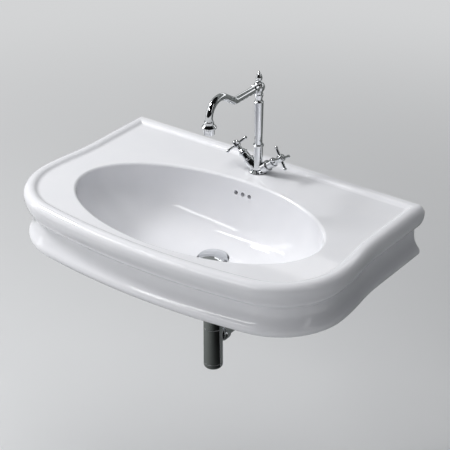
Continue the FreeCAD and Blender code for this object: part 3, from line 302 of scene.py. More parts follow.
# Bowl: an oval mouth that narrows to the waste by a superellipse of this fullness.
BOWL_HALF, BOWL_REACH, BOWL_CENTRE, BOWL_DEPTH, BOWL_SHELL = 304.0, 170.5, 289.0, 145.0, 11.0
FULLNESS = 2.5
MOUTH_ROUND = 7.0
DECK_ROWS, MOUTH_ROWS, BOWL_ROWS, SHELL_ROWS = 8, 10, 73, 41

WASTE_Y = -231.0
SEAT_RADIUS, SEAT_LEVEL, HOLE_RADIUS = 35.5, DECK - BOWL_DEPTH - 7.0, 23.0
BOSS_RADIUS, BOSS_FOOT = 42.0, DECK - BOWL_DEPTH - 34.0
SEAT_BRIM, SEAT_EDGE, HOLE_EDGE, BOSS_EDGE = 1.0, 0.8, 0.6, 1.0  # small rounds from the bowl to the boss

# Holes, each with its radius, its place, and where its cut starts and how deep it goes.
TAP_Y, TAP_HOLE_RADIUS, TAP_HOLE_BELOW, TAP_HOLE_CUT = -60.0, 17.5, 16.0, 20.0
OVERFLOW_RADIUS, OVERFLOW_GAP, OVERFLOW_DROP, OVERFLOW_START, OVERFLOW_CUT = 5.25, 18.0, 42.0, -104.0, 26.0
BOLT_RADIUS, BOLT_REACH, BOLT_START, BOLT_CUT = 11.0, 140.0, 2.0, 20.0

# Overflow duct: half its width, its depth behind the bowl's shell, its wall, how far it laps into the
# waste hole, and the shares of the bowl's depth at which it bends.
DUCT_HALF, DUCT_GAP, DUCT_WALL, DUCT_LAP = 25.0, 14.0, 9.0, 4.0
DUCT_LEVELS = 0.35, 0.6, 0.78, 0.89, 0.95


def walk(start, heading, runs):
    """Points of a section made of straight runs (None, length) and arcs (radius, turn in degrees)."""
    spot, points = np.array(start, float), [np.array(start, float)]
    for radius, amount in runs:
        if radius is None:
            steps = 3
            for _ in range(steps):
                spot = spot + amount / steps * np.array([math.cos(heading), math.sin(heading)])
                points.append(spot)
            continue
        steps = max(3, round(abs(amount) / ARC_STEP))
        turn = math.radians(amount) / steps
        for _ in range(steps):
            chord = 2 * radius * math.sin(abs(turn) / 2)
            heading += turn / 2
            spot = spot + chord * np.array([math.cos(heading), math.sin(heading)])
            heading += turn / 2
            points.append(spot)
    return points


def rim_arcs(gap):
    """Right half of the rim in plan after its straight side: points and outward normals."""
    front = np.array([0.0, FRONT_RADIUS - BASIN_DEPTH])
    corner_x = BASIN_WIDTH / 2 - CORNER_RADIUS
    corner = np.array([corner_x, front[1] - math.sqrt((FRONT_RADIUS - CORNER_RADIUS) ** 2 - corner_x ** 2)])
    waist = np.array([BACK_HALF + WAIST_RADIUS, -SIDE_RUN])
    way = corner - waist
    apart = np.linalg.norm(way)
    far, near = WAIST_RADIUS + SHOULDER_RADIUS, SHOULDER_RADIUS - CORNER_RADIUS
    along = (far ** 2 - near ** 2 + apart ** 2) / (2 * apart)
    off = math.sqrt(far ** 2 - along ** 2)
    unit = way / apart
    shoulder = waist + unit * along - np.array([-unit[1], unit[0]]) * off
    spots, normals = [], []
    for centre, radius, first, last, side in (
        (waist, WAIST_RADIUS, np.array([-1.0, 0.0]), shoulder - waist, -1),
        (shoulder, SHOULDER_RADIUS, waist - shoulder, corner - shoulder, 1),
        (corner, CORNER_RADIUS, corner - shoulder, corner - front, 1),
        (front, FRONT_RADIUS, corner - front, np.array([0.0, -1.0]), 1),
    ):
        a, b = math.atan2(first[1], first[0]), math.atan2(last[1], last[0])
        sweep = (b - a + math.pi) % (2 * math.pi) - math.pi
        steps = max(4, round(abs(sweep) * radius / gap))
        for i in range(steps):
            out = np.array([math.cos(a + sweep * i / steps), math.sin(a + sweep * i / steps)])
            spots.append(centre + out * radius)
            normals.append(out * side)
    spots.append(front + np.array([0.0, -FRONT_RADIUS]))
    normals.append(np.array([0.0, -1.0]))
    return np.array(spots), np.array(normals)


RIM_SPOTS, RIM_NORMALS = rim_arcs(6.0)
SIDE_SHARES = np.linspace(0, 1, 25)[:-1]
BACK_COLUMNS = 120


def rim_row(inset, start):
    """The rim outline moved in, from start before the back on the right, round to the left."""
    side = [(BACK_HALF - inset, -(start + (SIDE_RUN - start) * share)) for share in SIDE_SHARES]
    right = np.vstack([side, RIM_SPOTS - RIM_NORMALS * inset])
    return np.vstack([right, (right * (-1, 1))[-2::-1]])


def rim_loop(inset, start, height):
    """The same outline closed by a straight line along the back, as points at one height."""
    row = rim_row(inset, start)
    back_x = np.linspace(-(BACK_HALF - inset), BACK_HALF - inset, BACK_COLUMNS + 1)[1:-1]
    plan = np.vstack([row, np.column_stack([back_x, np.full(len(back_x), -start)])])
    return np.column_stack([plan, np.full(len(plan), height)])


def bowl_level(share):
    """How wide the bowl is at a share of its depth, or how deep at a share of its width."""
    return (1 - share ** FULLNESS) ** (1 / FULLNESS)


def make_basin():
    """Rolled rim, bead and apron swept round the outline, with the deck, the bowl and the boss."""
    points, faces = [], []

    def put(row):
        first = sum(len(r) for r in points)
        points.append(np.asarray(row, float))
        return list(range(first, first + len(row)))

    def strip(a, b, closed=True):
        for i in range(len(a) if closed else len(a) - 1):
            j = (i + 1) % len(a)
            faces.append((a[i], a[j], b[j], b[i]))

    def stack(rows, closed=True):
        ids = [put(row) for row in rows]
        for a, b in zip(ids, ids[1:]):
            strip(a, b, closed)
        return ids

    apron = walk((CREST_INSET, 0.0), math.pi, APRON_RUNS)
    apron_rows = []
    for inset, drop in apron:
        row = rim_row(inset, LAND)
        ends = [(BACK_HALF - inset, 0.0)], [(inset - BACK_HALF, 0.0)]
        plan = np.vstack([ends[0], row, ends[1]])
        apron_rows.append(np.column_stack([plan, np.full(len(plan), RIM_TOP - drop)]))
    skin = stack(apron_rows, closed=False)

    bead = walk((CREST_INSET, 0.0), 0.0, [(BEAD_ROUND, BEAD_TURN), (BEAD_FOOT, -BEAD_TURN)])
    bead_rows = stack([rim_loop(inset, LAND + (inset - CREST_INSET) * BACK_SHARE, RIM_TOP - drop)
                       for inset, drop in bead])
    path = len(rim_row(0.0, LAND))
    crest = bead_rows[0]
    faces.append([skin[0][0], skin[0][-1]] + crest[path - 1:] + [crest[0]])
    faces.append([row[0] for row in skin] + [row[-1] for row in reversed(skin)])

    foot_inset, foot_drop = apron[-1]
    inner = [(foot_inset + LIP_WIDTH, foot_drop)] + APRON_INSIDE
    inner_rows = stack([rim_loop(inset, BACK_THICKNESS, RIM_TOP - drop) for inset, drop in inner])
    low = inner_rows[0]
    strip(skin[-1][1:-1], low[:path], closed=False)
    faces.append([skin[-1][0], skin[-1][1]] + [low[0]] + low[:path - 2:-1] + [skin[-1][-2], skin[-1][-1]])

    foot = points[-len(inner) - 1]
    turn = np.arctan2((foot[:, 1] + BOWL_CENTRE) / BOWL_REACH, foot[:, 0] / BOWL_HALF)
    waste = np.array([0.0, WASTE_Y])
    spread = np.column_stack([BOWL_HALF * np.cos(turn), BOWL_REACH * np.sin(turn) - BOWL_CENTRE - WASTE_Y])
    mouth = waste + spread
    outward = np.column_stack([np.cos(turn) / BOWL_HALF, np.sin(turn) / BOWL_REACH])
    outward /= np.linalg.norm(outward, axis=1)[:, None]
    reach = np.linalg.norm(spread, axis=1)

    def level_row(plan, height):
        return np.column_stack([plan, np.broadcast_to(height, len(plan))])

    def round_row(radius, height):
        return level_row(waste + spread / reach[:, None] * radius, height)

    rows = []
    for share in np.linspace(0, 1, DECK_ROWS)[1:-1]:
        rows.append(level_row(foot[:, :2] * (1 - share) + (mouth + outward * MOUTH_ROUND) * share, DECK))
    for lean in np.radians(np.linspace(0, 90, MOUTH_ROWS)):
        rows.append(level_row(mouth + outward * MOUTH_ROUND * (1 - math.sin(lean)),
                              DECK - MOUTH_ROUND * (1 - math.cos(lean))))
    power = 2 / FULLNESS
    first = math.asin((MOUTH_ROUND / BOWL_DEPTH) ** (1 / power))
    last = np.arccos(((SEAT_RADIUS + SEAT_BRIM) / reach) ** (1 / power))
    for share in np.linspace(0, 1, BOWL_ROWS)[1:]:
        lean = first + (last - first) * share
        rows.append(level_row(waste + spread * np.cos(lean)[:, None] ** power,
                              DECK - BOWL_DEPTH * np.sin(lean) ** power))
    edge = rows[-1][:, 2]
    rows += [round_row(SEAT_RADIUS + 0.35 * SEAT_BRIM, edge - 0.25 * SEAT_BRIM),
             round_row(SEAT_RADIUS, edge - SEAT_BRIM),
             round_row(SEAT_RADIUS, SEAT_LEVEL + SEAT_EDGE), round_row(SEAT_RADIUS - SEAT_EDGE, SEAT_LEVEL),
             round_row(HOLE_RADIUS + HOLE_EDGE, SEAT_LEVEL), round_row(HOLE_RADIUS, SEAT_LEVEL - HOLE_EDGE),
             round_row(HOLE_RADIUS, BOSS_FOOT + HOLE_EDGE), round_row(HOLE_RADIUS + HOLE_EDGE, BOSS_FOOT)]

    def shell(share):
        return waste + np.column_stack([
            np.cos(turn) * (BOWL_HALF * share + BOWL_SHELL),
            np.sin(turn) * (BOWL_REACH * share + BOWL_SHELL) - (BOWL_CENTRE + WASTE_Y) * share])

    # Halving finds where the shell meets the boss in each direction.
    small, large = np.zeros(len(turn)), np.full(len(turn), 0.5)
    for _ in range(40):
        middle = (small + large) / 2
        outside = np.linalg.norm(shell(middle) - waste, axis=1) > BOSS_RADIUS
        large = np.where(outside, middle, large)
        small = np.where(outside, small, middle)
    boss_way = (shell(large) - waste) / BOSS_RADIUS
    rows += [level_row(waste + boss_way * (BOSS_RADIUS - BOSS_EDGE), BOSS_FOOT),
             level_row(waste + boss_way * BOSS_RADIUS, BOSS_FOOT + BOSS_EDGE)]
    under = math.asin((DECK_THICKNESS / (BOWL_DEPTH + BOWL_SHELL)) ** (1 / power))
    deep = np.arccos(large ** (1 / power))
    for share in np.linspace(1, 0, SHELL_ROWS):
        lean = under + (deep - under) * share
        rows.append(level_row(shell(np.cos(lean) ** power),
                              DECK - (BOWL_DEPTH + BOWL_SHELL) * np.sin(lean) ** power))
    ids = stack(rows)
    strip(bead_rows[-1], ids[0])
    strip(ids[-1], inner_rows[-1])
    return new_object("china_basin", np.vstack(points), faces)


def bowl_back(level, offset):
    """A point (y, z) behind the bowl in the middle plane, offset square to its side."""
    share = bowl_level(level)
    run = BOWL_REACH - BOWL_CENTRE - WASTE_Y
    lean = math.atan2(run * level ** (FULLNESS - 1) * share ** (1 - FULLNESS), BOWL_DEPTH)
    return (WASTE_Y + run * share + offset * math.cos(lean),
            DECK - BOWL_DEPTH * level - offset * math.sin(lean))


def bar(name, outline, half):
    """A straight solid across the middle plane from its side outline."""
    count = len(outline)
    points = [(x, y, z) for x in (-half, half) for y, z in outline]
    faces = [tuple(range(count)), tuple(range(count, 2 * count))]
    faces += [(i, (i + 1) % count, count + (i + 1) % count, count + i) for i in range(count)]
    return new_object(name, points, faces)


def duct(name, near, far, roof, foot_high, foot_low, half):
    """Overflow duct behind the bowl, from the overflow holes to the waste hole."""
    levels = (roof, *DUCT_LEVELS)
    mouth = WASTE_Y + HOLE_RADIUS - DUCT_LAP
    return bar(name, [bowl_back(level, near) for level in levels] + [(mouth, foot_high), (mouth, foot_low)]
               + [bowl_back(level, far) for level in reversed(levels)], half)


# Turned pieces

def between(start, end, radius):
    """Points of an arc after start and before end; a positive radius bends it to the left."""
    start, end = np.array(start, float), np.array(end, float)
    chord = end - start
    length = np.linalg.norm(chord)
    rise = math.sqrt(max(radius ** 2 - length ** 2 / 4, 0.0))
    centre = (start + end) / 2 + np.array([-chord[1], chord[0]]) / length * math.copysign(rise, radius)
    a = math.atan2(*(start - centre)[::-1])
    b = math.atan2(*(end - centre)[::-1])
    sweep = (b - a) % (2 * math.pi) if radius > 0 else -((a - b) % (2 * math.pi))
    steps = max(3, round(math.degrees(abs(sweep)) / ARC_STEP))
    angles = [a + sweep * i / steps for i in range(1, steps)]
    return [centre + abs(radius) * np.array([math.cos(angle), math.sin(angle)]) for angle in angles]


NEARLY_STRAIGHT, ON_AXIS = -0.985, 1e-6
EDGE_SHARE = 0.45  # most of a side that a rounded corner takes


def softened(profile, edge):
    """A closed profile with its arcs drawn and each sharp corner rounded by about edge."""
    dense, corner = [], []
    for i, point in enumerate(profile):
        dense.append(np.array(point[:2], float))
        corner.append(True)
        if len(point) == 3:
            arc = between(point[:2], profile[(i + 1) % len(profile)][:2], point[2])
            dense += arc
            corner += [False] * len(arc)
    rounded = []
    for i, spot in enumerate(dense):
        before, after = dense[i - 1], dense[(i + 1) % len(dense)]
        back, on = before - spot, after - spot
        cosine = back @ on / (np.linalg.norm(back) * np.linalg.norm(on))
        if not corner[i] or cosine < NEARLY_STRAIGHT or spot[0] < ON_AXIS:
            rounded.append(spot)
            continue
        cut_back = min(edge, EDGE_SHARE * np.linalg.norm(back)) * back / np.linalg.norm(back)
        cut_on = min(edge, EDGE_SHARE * np.linalg.norm(on)) * on / np.linalg.norm(on)
        for t in (0.0, 0.25, 0.5, 0.75, 1.0):
            rounded.append(spot + (1 - t) ** 2 * cut_back + t ** 2 * cut_on)
    return rounded


def at(x, y, z, *turns):
    """A place in the frame; each turn is an axis and an angle in degrees."""
    made = Matrix.Translation((x * MM, y * MM, z * MM))
    for axis, angle in turns:
        made = made @ Matrix.Rotation(math.radians(angle), 4, axis)
    return made


def turned(name, profile, place, edge=0.4, sides=96):
    """A piece turned on a lathe from (radius, height) points, put at its place."""
    outline = softened(profile, edge)
    angles = np.linspace(0, 2 * math.pi, sides, endpoint=False)
    points, faces = [], []
    for radius, height in outline:
        points += [(radius * math.cos(a), radius * math.sin(a), height) for a in angles]
    for i in range(len(outline)):
        j = (i + 1) % len(outline)
        if outline[i][0] < ON_AXIS and outline[j][0] < ON_AXIS:
            continue
        for k in range(sides):
            m = (k + 1) % sides
            faces.append((i * sides + k, i * sides + m, j * sides + m, j * sides + k))
    return new_object(name, points, faces, 0.001, 0.0005, place)


def cutter(name, radius, depth, place, sides):
    """The solid that a drill takes out."""
    return turned(name, [(0, 0), (radius, 0), (radius, depth), (0, depth)], place, 0.01, sides)


def threaded(radius, low, high, pitch, depth):
    """Points up the outside of a threaded length, drawn as even rings."""
    count = int((high - low) / pitch)
    points = []
    for i in range(count):
        base = low + i * pitch
        points += [(radius, base + 0.1 * pitch), (radius, base + 0.35 * pitch),
                   (radius - depth, base + 0.6 * pitch), (radius - depth, base + 0.85 * pitch)]
    return points


# Geometry node trees

def node_tree(name, inputs):
    """A geometry tree with named inputs; gives the tree, its input node and the socket identifiers."""
    tree = bpy.data.node_groups.new(name, "GeometryNodeTree")
    tree.interface.new_socket("Geometry", in_out="INPUT", socket_type="NodeSocketGeometry")
    keys = {}
    for label, kind in inputs.items():
        keys[label] = tree.interface.new_socket(label, in_out="INPUT", socket_type=kind).identifier
    tree.interface.new_socket("Geometry", in_out="OUTPUT", socket_type="NodeSocketGeometry")
    return tree, add(tree, "NodeGroupInput"), keys


def end_tree(tree, geometry, material):
    """Realises what the tree made, gives it its material and sends it out."""
    real = add(tree, "GeometryNodeRealizeInstances", links={"Geometry": geometry})
    dressed = add(tree, "GeometryNodeSetMaterial", links={
        "Geometry": real.outputs["Geometry"], "Material": material})
    add(tree, "NodeGroupOutput", links={"Geometry": dressed.outputs["Geometry"]})


def round_axis_tree():
    """Repeats the piece evenly round the upright axis at the origin."""
    tree, given, keys = node_tree("repeat_round_axis", {
        "Count": "NodeSocketInt", "Finish": "NodeSocketMaterial"})
    spots = add(tree, "GeometryNodePoints", links={"Count": given.outputs["Count"]})
    number = add(tree, "GeometryNodeInputIndex")
    part = add(tree, "ShaderNodeMath", {"operation": "DIVIDE"}, {
        0: number.outputs["Index"], 1: given.outputs["Count"]})
    angle = add(tree, "ShaderNodeMath", {"operation": "MULTIPLY", 1: 2 * math.pi}, {0: part.outputs["Value"]})
    spin = add(tree, "ShaderNodeCombineXYZ", links={"Z": angle.outputs["Value"]})
    copies = add(tree, "GeometryNodeInstanceOnPoints", links={
        "Points": spots.outputs["Points"], "Instance": given.outputs["Geometry"],
        "Rotation": spin.outputs["Vector"]})
    end_tree(tree, copies.outputs["Instances"], given.outputs["Finish"])
    return tree, keys


def tube_tree():
    """Sweeps a round tube along the piece's own path."""
    tree, given, keys = node_tree("tube_along_path", {
        "Radius": "NodeSocketFloat", "Sides": "NodeSocketInt", "Finish": "NodeSocketMaterial"})
    path = add(tree, "GeometryNodeMeshToCurve", links={"Mesh": given.outputs["Geometry"]})
    section = add(tree, "GeometryNodeCurvePrimitiveCircle", links={
        "Resolution": given.outputs["Sides"], "Radius": given.outputs["Radius"]})
    swept = add(tree, "GeometryNodeCurveToMesh", {"Fill Caps": True}, {
        "Curve": path.outputs["Curve"], "Profile Curve": section.outputs["Curve"]})
    end_tree(tree, swept.outputs["Mesh"], given.outputs["Finish"])
    return tree, keys


ROUND_AXIS, ROUND_KEYS = round_axis_tree()
TUBE, TUBE_KEYS = tube_tree()


def grow(piece, tree, keys, **values):
    """Runs a geometry tree on a piece and keeps the plain mesh that it gives."""
    grown = piece.modifiers.new("grow", "NODES")
    grown.node_group = tree
    for label, setting in values.items():
        grown[keys[label]] = setting
    settle(piece)


# Basin and its holes

basin = make_basin()
casing = duct("duct_outside", BOWL_SHELL - 5.0, BOWL_SHELL + DUCT_GAP + DUCT_WALL, 0.08,
              BOSS_FOOT + 21.0, BOSS_FOOT + 0.2, DUCT_HALF + DUCT_WALL)
combine(basin, [casing], "UNION")
overflow = [cutter(f"overflow_{i}", OVERFLOW_RADIUS, OVERFLOW_CUT,
                   at(OVERFLOW_GAP * i, OVERFLOW_START, RIM_TOP - OVERFLOW_DROP, ("X", 90)), 48)
            for i in (-1, 0, 1)]
bolts = [cutter(f"bolt_{i}", BOLT_RADIUS, BOLT_CUT, at(BOLT_REACH * i, BOLT_START, 0.0, ("X", 90)), 64)
         for i in (-1, 1)]
tap_hole = cutter("tap_hole", TAP_HOLE_RADIUS, TAP_HOLE_CUT, at(0, TAP_Y, DECK - TAP_HOLE_BELOW), 72)
hollow = duct("duct_inside", BOWL_SHELL, BOWL_SHELL + DUCT_GAP, 0.16,
              BOSS_FOOT + 14.0, BOSS_FOOT + 4.0, DUCT_HALF)
combine(basin, overflow + bolts + [tap_hole, hollow], "DIFFERENCE")
polish(basin, CHINA, 30.0)
fit(basin, "basin_set", "glazed_ceramic", "basin")


# Tap

BALL_HEIGHT, ARM_TILT, ARM_FOOT = 204.5, 51.0, 1.6
HANDLES = (("hot", -1, 55.0), ("cold", 1, -12.0))  # name, side of the column, angle of the spokes when shut
SPOKES, SPOKE_HEIGHT = 4, 77.0
KINK_REACH, KINK_TURN, KINK_RADIUS = 92.0, math.radians(32.0), 18.0
OUTLET_REACH, SWAN_RADIUS, TUBE_RADIUS, TUBE_END, SOCKET_REACH = 182.4, 36.0, 8.0, -20.0, 15.0
ON_DECK = at(0, TAP_Y, DECK)
BALL = at(0, TAP_Y, DECK + BALL_HEIGHT)
OUTLET = at(0, TAP_Y - OUTLET_REACH, DECK + BALL_HEIGHT)
FROM_BALL = at(0, TAP_Y, DECK + BALL_HEIGHT, ("X", 90))


def chrome(node, body, profile, place, edge=0.4, joined=(), sides=96):
    """A turned chrome piece in place of one CAD node, with other turned pieces united to it."""
    piece = turned(f"chrome_{node}", profile, place, edge, sides)
    if joined:
        combine(piece, list(joined), "UNION")
    polish(piece, CHROME)
    fit(piece, body, "polished_chrome", node)


def valve_place(side, rest):
    """A place on the axis of one valve arm, turned by the handle's angle at rest."""
    return at(0, TAP_Y, DECK, ("Y", ARM_TILT * side), ("Z", rest))


def valve_arm(side):
    """One leg of the tap's V, cut off level with the foot."""
    arm = turned(f"arm_{side}", [(0, -4.0), (8.5, -4.0), (12.5, 19.0), (12.0, 31.0), (0, 31.0)],
                 valve_place(side, 0.0))
    below = turned("below_foot", [(0, -60.0), (60.0, -60.0), (60.0, ARM_FOOT), (0, ARM_FOOT)], ON_DECK)
    combine(arm, [below], "DIFFERENCE")
    return arm


chrome("tap_body", "basin_set", [
    (0, 1.5), (21.0, 1.5), (21.0, 2.2), (11.0, 6.0), (10.0, 25.0), (10.0, 62.0),
    (6.05, 62.0), (6.05, 52.0), (0, 52.0)], ON_DECK, 0.5, [valve_arm(-1), valve_arm(1)])

for name, side, rest in HANDLES:
    still, turning = valve_place(side, 0.0), valve_place(side, rest)
    handle_body = f"{name}_handle_set"
    chrome(f"{name}_collar", "basin_set", [
        (7.0, 31.0), (12.0, 31.0), (13.0, 32.0), (13.0, 35.0), (12.0, 36.0), (7.0, 36.0)], still)
    chrome(f"{name}_bonnet", "basin_set", [
        (7.0, 36.0), (9.8, 36.0), (9.2, 50.5), (11.0, 51.5), (11.0, 54.5), (10.0, 55.5), (4.05, 55.5),
        (4.05, 50.5), (7.0, 50.5)], still)
    spokes = turned(f"{name}_spokes", [(0, 3.0), (2.9, 3.0), (2.9, 22.9, 4.1), (0, 29.8)],
                    at(0, 0, SPOKE_HEIGHT, ("Y", 90)), 0.3, 48)
    grow(spokes, ROUND_AXIS, ROUND_KEYS, Count=SPOKES, Finish=CHROME)
    spokes.data.transform(turning)
    chrome(f"{name}_handle", handle_body, [
        (4.0, 56.3), (8.5, 56.3), (8.5, 58.3), (5.5, 62.3), (5.5, 70.0), (8.5, 72.0), (8.5, 83.3),
        (7.5, 84.3), (0, 84.3), (0, 81.3), (4.0, 81.3)], turning, 0.6, [spokes])
    chrome(f"{name}_button", handle_body, [
        (0, 84.3), (6.0, 84.3), (6.0, 85.3, 8.45), (0, 87.8)], turning, 0.3)

chrome("column", "basin_set", [
    (5.0, 52.05), (6.0, 52.05), (6.0, 62.0), (8.5, 62.0), (8.5, 67.0), (10.5, 170.0, -8.0), (7.5, 177.0),
    (10.0, 186.0), (10.0, 188.0), (5.0, 188.0)], ON_DECK, 0.7, sides=128)
chrome("column_ring", "basin_set", [
    (8.55, 62.0), (11.0, 62.0), (12.0, 63.0), (12.0, 66.0), (11.0, 67.0), (8.55, 67.0)], ON_DECK)
socket = turned("socket", [(0, 0), (9.0, 0), (9.0, 15.0), (0, 15.0)], FROM_BALL)
chrome("spout_hub", "spout", [
    (0, 188.3), (8.5, 188.3), (8.5, 194.66, 13.0), (8.5, 214.34), (8.5, 217.0), (0, 217.0)],
    ON_DECK, 0.6, [socket])
chrome("finial", "basin_set", [
    (4.0, 217.3), (7.5, 217.3), (7.5, 218.8), (5.0, 220.3, 8.0), (7.25, 226.3, 22.0), (2.5, 238.8),
    (0, 243.8), (0, 223.3), (4.0, 223.3)], ON_DECK, 0.5)
chrome("spout_nut", "spout", [
    (8.05, 15.0), (9.5, 15.0), (10.5, 16.0), (10.5, 21.0), (9.5, 22.0), (8.05, 22.0)], FROM_BALL)


def make_spout_tube():
    """Swan neck: level out of the hub, up at a kink, then over and down to the outlet."""
    slope = math.tan(KINK_TURN)
    kink = KINK_RADIUS * math.tan(KINK_TURN / 2)
    crest_reach = OUTLET_REACH - SWAN_RADIUS - SWAN_RADIUS * math.sin(KINK_TURN)
    crest_up = slope * (crest_reach - KINK_REACH)
    bends = [(SOCKET_REACH, 0.0), (KINK_REACH - kink, 0.0, KINK_RADIUS),
             (KINK_REACH + kink * math.cos(KINK_TURN), kink * math.sin(KINK_TURN)),
             (crest_reach, crest_up, -SWAN_RADIUS),
             (OUTLET_REACH, crest_up - SWAN_RADIUS * math.cos(KINK_TURN)), (OUTLET_REACH, TUBE_END)]
    spots = []
    for i, bend in enumerate(bends):
        spots.append(np.array(bend[:2]))
        if len(bend) == 3:
            spots += between(bend[:2], bends[i + 1][:2], bend[2])
    mesh = bpy.data.meshes.new("spout_path")
    mesh.from_pydata([(0, -reach * MM, up * MM) for reach, up in spots],
                     [(i, i + 1) for i in range(len(spots) - 1)], [])
    tube = in_scene("chrome_spout_tube", mesh)
    grow(tube, TUBE, TUBE_KEYS, Radius=TUBE_RADIUS * MM, Sides=64, Finish=CHROME)
    tube.data.transform(BALL)
    return tube


tube = make_spout_tube()
polish(tube, CHROME)
fit(tube, "spout", "polished_chrome", "spout_tube")
chrome("outlet_ring", "spout", [
    (6.5, -31.0), (12.5, -31.0), (16.0, -28.5), (16.0, -26.0), (10.5, -20.0), (10.5, -14.0), (8.05, -14.0),
    (8.05, -20.0), (6.5, -20.0)], OUTLET)
chrome("aerator_housing", "spout", [(10.0, -43.0), (11.5, -43.0), (12.5, -31.0), (10.0, -31.0)], OUTLET)


# Waste and trap

DRAIN_LEVEL = -274.0
AT_SEAT = at(0, WASTE_Y, SEAT_LEVEL)
AT_WASTE = at(0, WASTE_Y, 0.0)
TO_DRAIN = at(0, WASTE_Y, DRAIN_LEVEL, ("X", -90))
chrome("waste_body", "basin_set", [(18.5, -62.0), (20.4, -62.0)] + threaded(20.9, -61.5, -28.0, 2.0, 0.7) + [
    (20.9, -27.0), (20.9, 1.0), (34.5, 1.0), (34.5, 2.5), (33.5, 3.5), (21.0, 2.8), (18.5, 1.0)], AT_SEAT)
chrome("plug_cap", "plug", [(0, 11.3), (31.5, 11.3), (31.5, 13.3, 112.5), (0, 17.8)], AT_SEAT, 0.8, sides=128)
chrome("coupling_nut", "basin_set", [
    (16.3, -144.5), (24.0, -144.5), (25.0, -143.5), (25.0, -125.5), (24.0, -124.5), (20.9, -124.5),
    (20.9, -140.0), (16.3, -140.0)], AT_WASTE)
chrome("dip_tube", "basin_set", [
    (14.8, -328.0), (16.0, -328.0), (16.0, -140.0), (20.6, -140.0), (20.6, -138.5), (14.8, -138.5)], AT_WASTE)
chrome("trap_top_nut", "basin_set", [
    (19.0, -243.4), (22.0, -243.4), (22.0, -222.4), (21.0, -221.4), (16.3, -221.4), (16.3, -223.9),
    (19.0, -223.9)], AT_WASTE, 0.6)
boss = turned("outlet_boss", [(16.05, 21.2), (18.0, 21.2), (18.0, 34.0), (16.05, 34.0)], TO_DRAIN)
chrome("trap_body", "basin_set", [
    (20.2, -335.0), (22.0, -335.0), (22.0, -244.0), (19.0, -244.0), (19.0, -229.0), (16.3, -229.0),
    (16.3, -247.0), (20.2, -250.0)], AT_WASTE, 0.4, [boss], 128)
chrome("trap_bottom_cap", "basin_set", [
    (0, -350.0), (14.0, -350.0, 8.0), (22.0, -342.0), (22.0, -336.0), (19.9, -336.0), (19.9, -330.0),
    (17.9, -330.0), (17.9, -346.0), (0, -346.0)], AT_WASTE)
chrome("outlet_nut", "basin_set", [
    (18.0, 26.0), (20.0, 26.0), (21.0, 27.0), (21.0, 40.0), (20.0, 41.0), (16.3, 41.0), (16.3, 38.5),
    (18.0, 38.5)], TO_DRAIN)
chrome("outlet_pipe", "basin_set", [
    (14.8, 26.0), (16.0, 26.0), (16.0, 233.0), (15.75, 233.0), (15.75, 273.0), (14.8, 273.0)], TO_DRAIN, 0.2)
chrome("wall_flange", "basin_set", [
    (16.05, 219.0), (19.0, 219.0), (19.0, 221.0, -70.0), (35.0, 229.0), (35.0, 231.0),
    (16.05, 231.0)], TO_DRAIN)


# CAD pieces that stay, mostly out of sight, with their finishes

slot_of = {part["node"]: part["material_slot"] for part in frame["record"]["subparts"]}
for node, piece in frame["nodes"].items():
    if not piece.hide_render:
        piece.data.materials.clear()
        piece.data.materials.append(FINISH[slot_of[node]])


# Floor, light and camera

def board(name, corners, material):
    """A plain flat board of the set."""
    mesh = bpy.data.meshes.new(name)
    mesh.from_pydata(corners, [], [(0, 1, 2, 3)])
    mesh.materials.append(material)
    made = in_scene(name, mesh)
    return made


SURROUND = "#D3D4D5"
FADE = 1.0, 3.4  # metres from the middle over which the floor runs into the surround


def seen(tree):
    """1 for the rays that look at the set, and 0 for those that carry its light to the object."""
    ray = add(tree, "ShaderNodeLightPath")
    most = ray.outputs["Is Camera Ray"]
    for kind in ("Is Glossy Ray", "Is Transmission Ray"):
        larger = add(tree, "ShaderNodeMath", {"operation": "MAXIMUM"}, {0: most, 1: ray.outputs[kind]})
        most = larger.outputs["Value"]
    return most


def studio_floor_paint():
    """Matt pale paint rolled on, in slow patches about 700 mm wide; far off it runs into the surround."""
    made, tree, shader, where = new_material("studio_floor_paint", {"Roughness": 0.85})
    patch, _ = vary(tree, where, 700.0, 0.0, 1.0)
    tree.links.new(tint(tree, patch, "#E0E1E2", "#E6E7E8"), shader.inputs["Base Color"])
    away = add(tree, "ShaderNodeVectorMath", {"operation": "LENGTH"}, {"Vector": where})
    far = add(tree, "ShaderNodeMapRange", {
        "interpolation_type": "SMOOTHSTEP", "From Min": FADE[0], "From Max": FADE[1]},
        {"Value": away.outputs["Value"]})
    share = add(tree, "ShaderNodeMath", {"operation": "MULTIPLY"}, {0: far.outputs["Result"], 1: seen(tree)})
    even = add(tree, "ShaderNodeEmission", {"Color": linear(SURROUND)})
    both = add(tree, "ShaderNodeMixShader", links={
        "Fac": share.outputs["Value"], 1: shader.outputs["BSDF"], 2: even.outputs["Emission"]})
    tree.links.new(both.outputs["Shader"], tree.nodes["Material Output"].inputs["Surface"])
    return made


def painted_reflection_card(name, first, last, reach, glow):
    """Card seen only in reflections, whose colour is a painted reflection on polished metal; it darkens along
    X over its reach as painted shade, and with glow it shines as a painted highlight though it is no lamp.
    """
    # A glow above 0 paints a highlight: the card shines though it is no lamp.
    made, tree, shader, where = new_material(name, {
        "Roughness": 0.9, "Emission Color": linear("#FFFFFF"), "Emission Strength": glow})
    # Painted shade: the colour darkens along X, lighter towards the lamps on the left.
    across = add(tree, "ShaderNodeSeparateXYZ", links={"Vector": where}).outputs["X"]
    share = add(tree, "ShaderNodeMapRange", {"From Min": reach[0], "From Max": reach[1]}, {"Value": across})
    tree.links.new(tint(tree, share.outputs["Result"], first, last), shader.inputs["Base Color"])
    return made


def upright(x0, y0, x1, y1, low, high):
    """Corners of an upright board over a line in plan."""
    return [(x0, y0, low), (x1, y1, low), (x1, y1, high), (x0, y0, high)]


def level(x0, x1, y0, y1, height):
    """Corners of a level board."""
    return [(x0, y0, height), (x1, y0, height), (x1, y1, height), (x0, y1, height)]


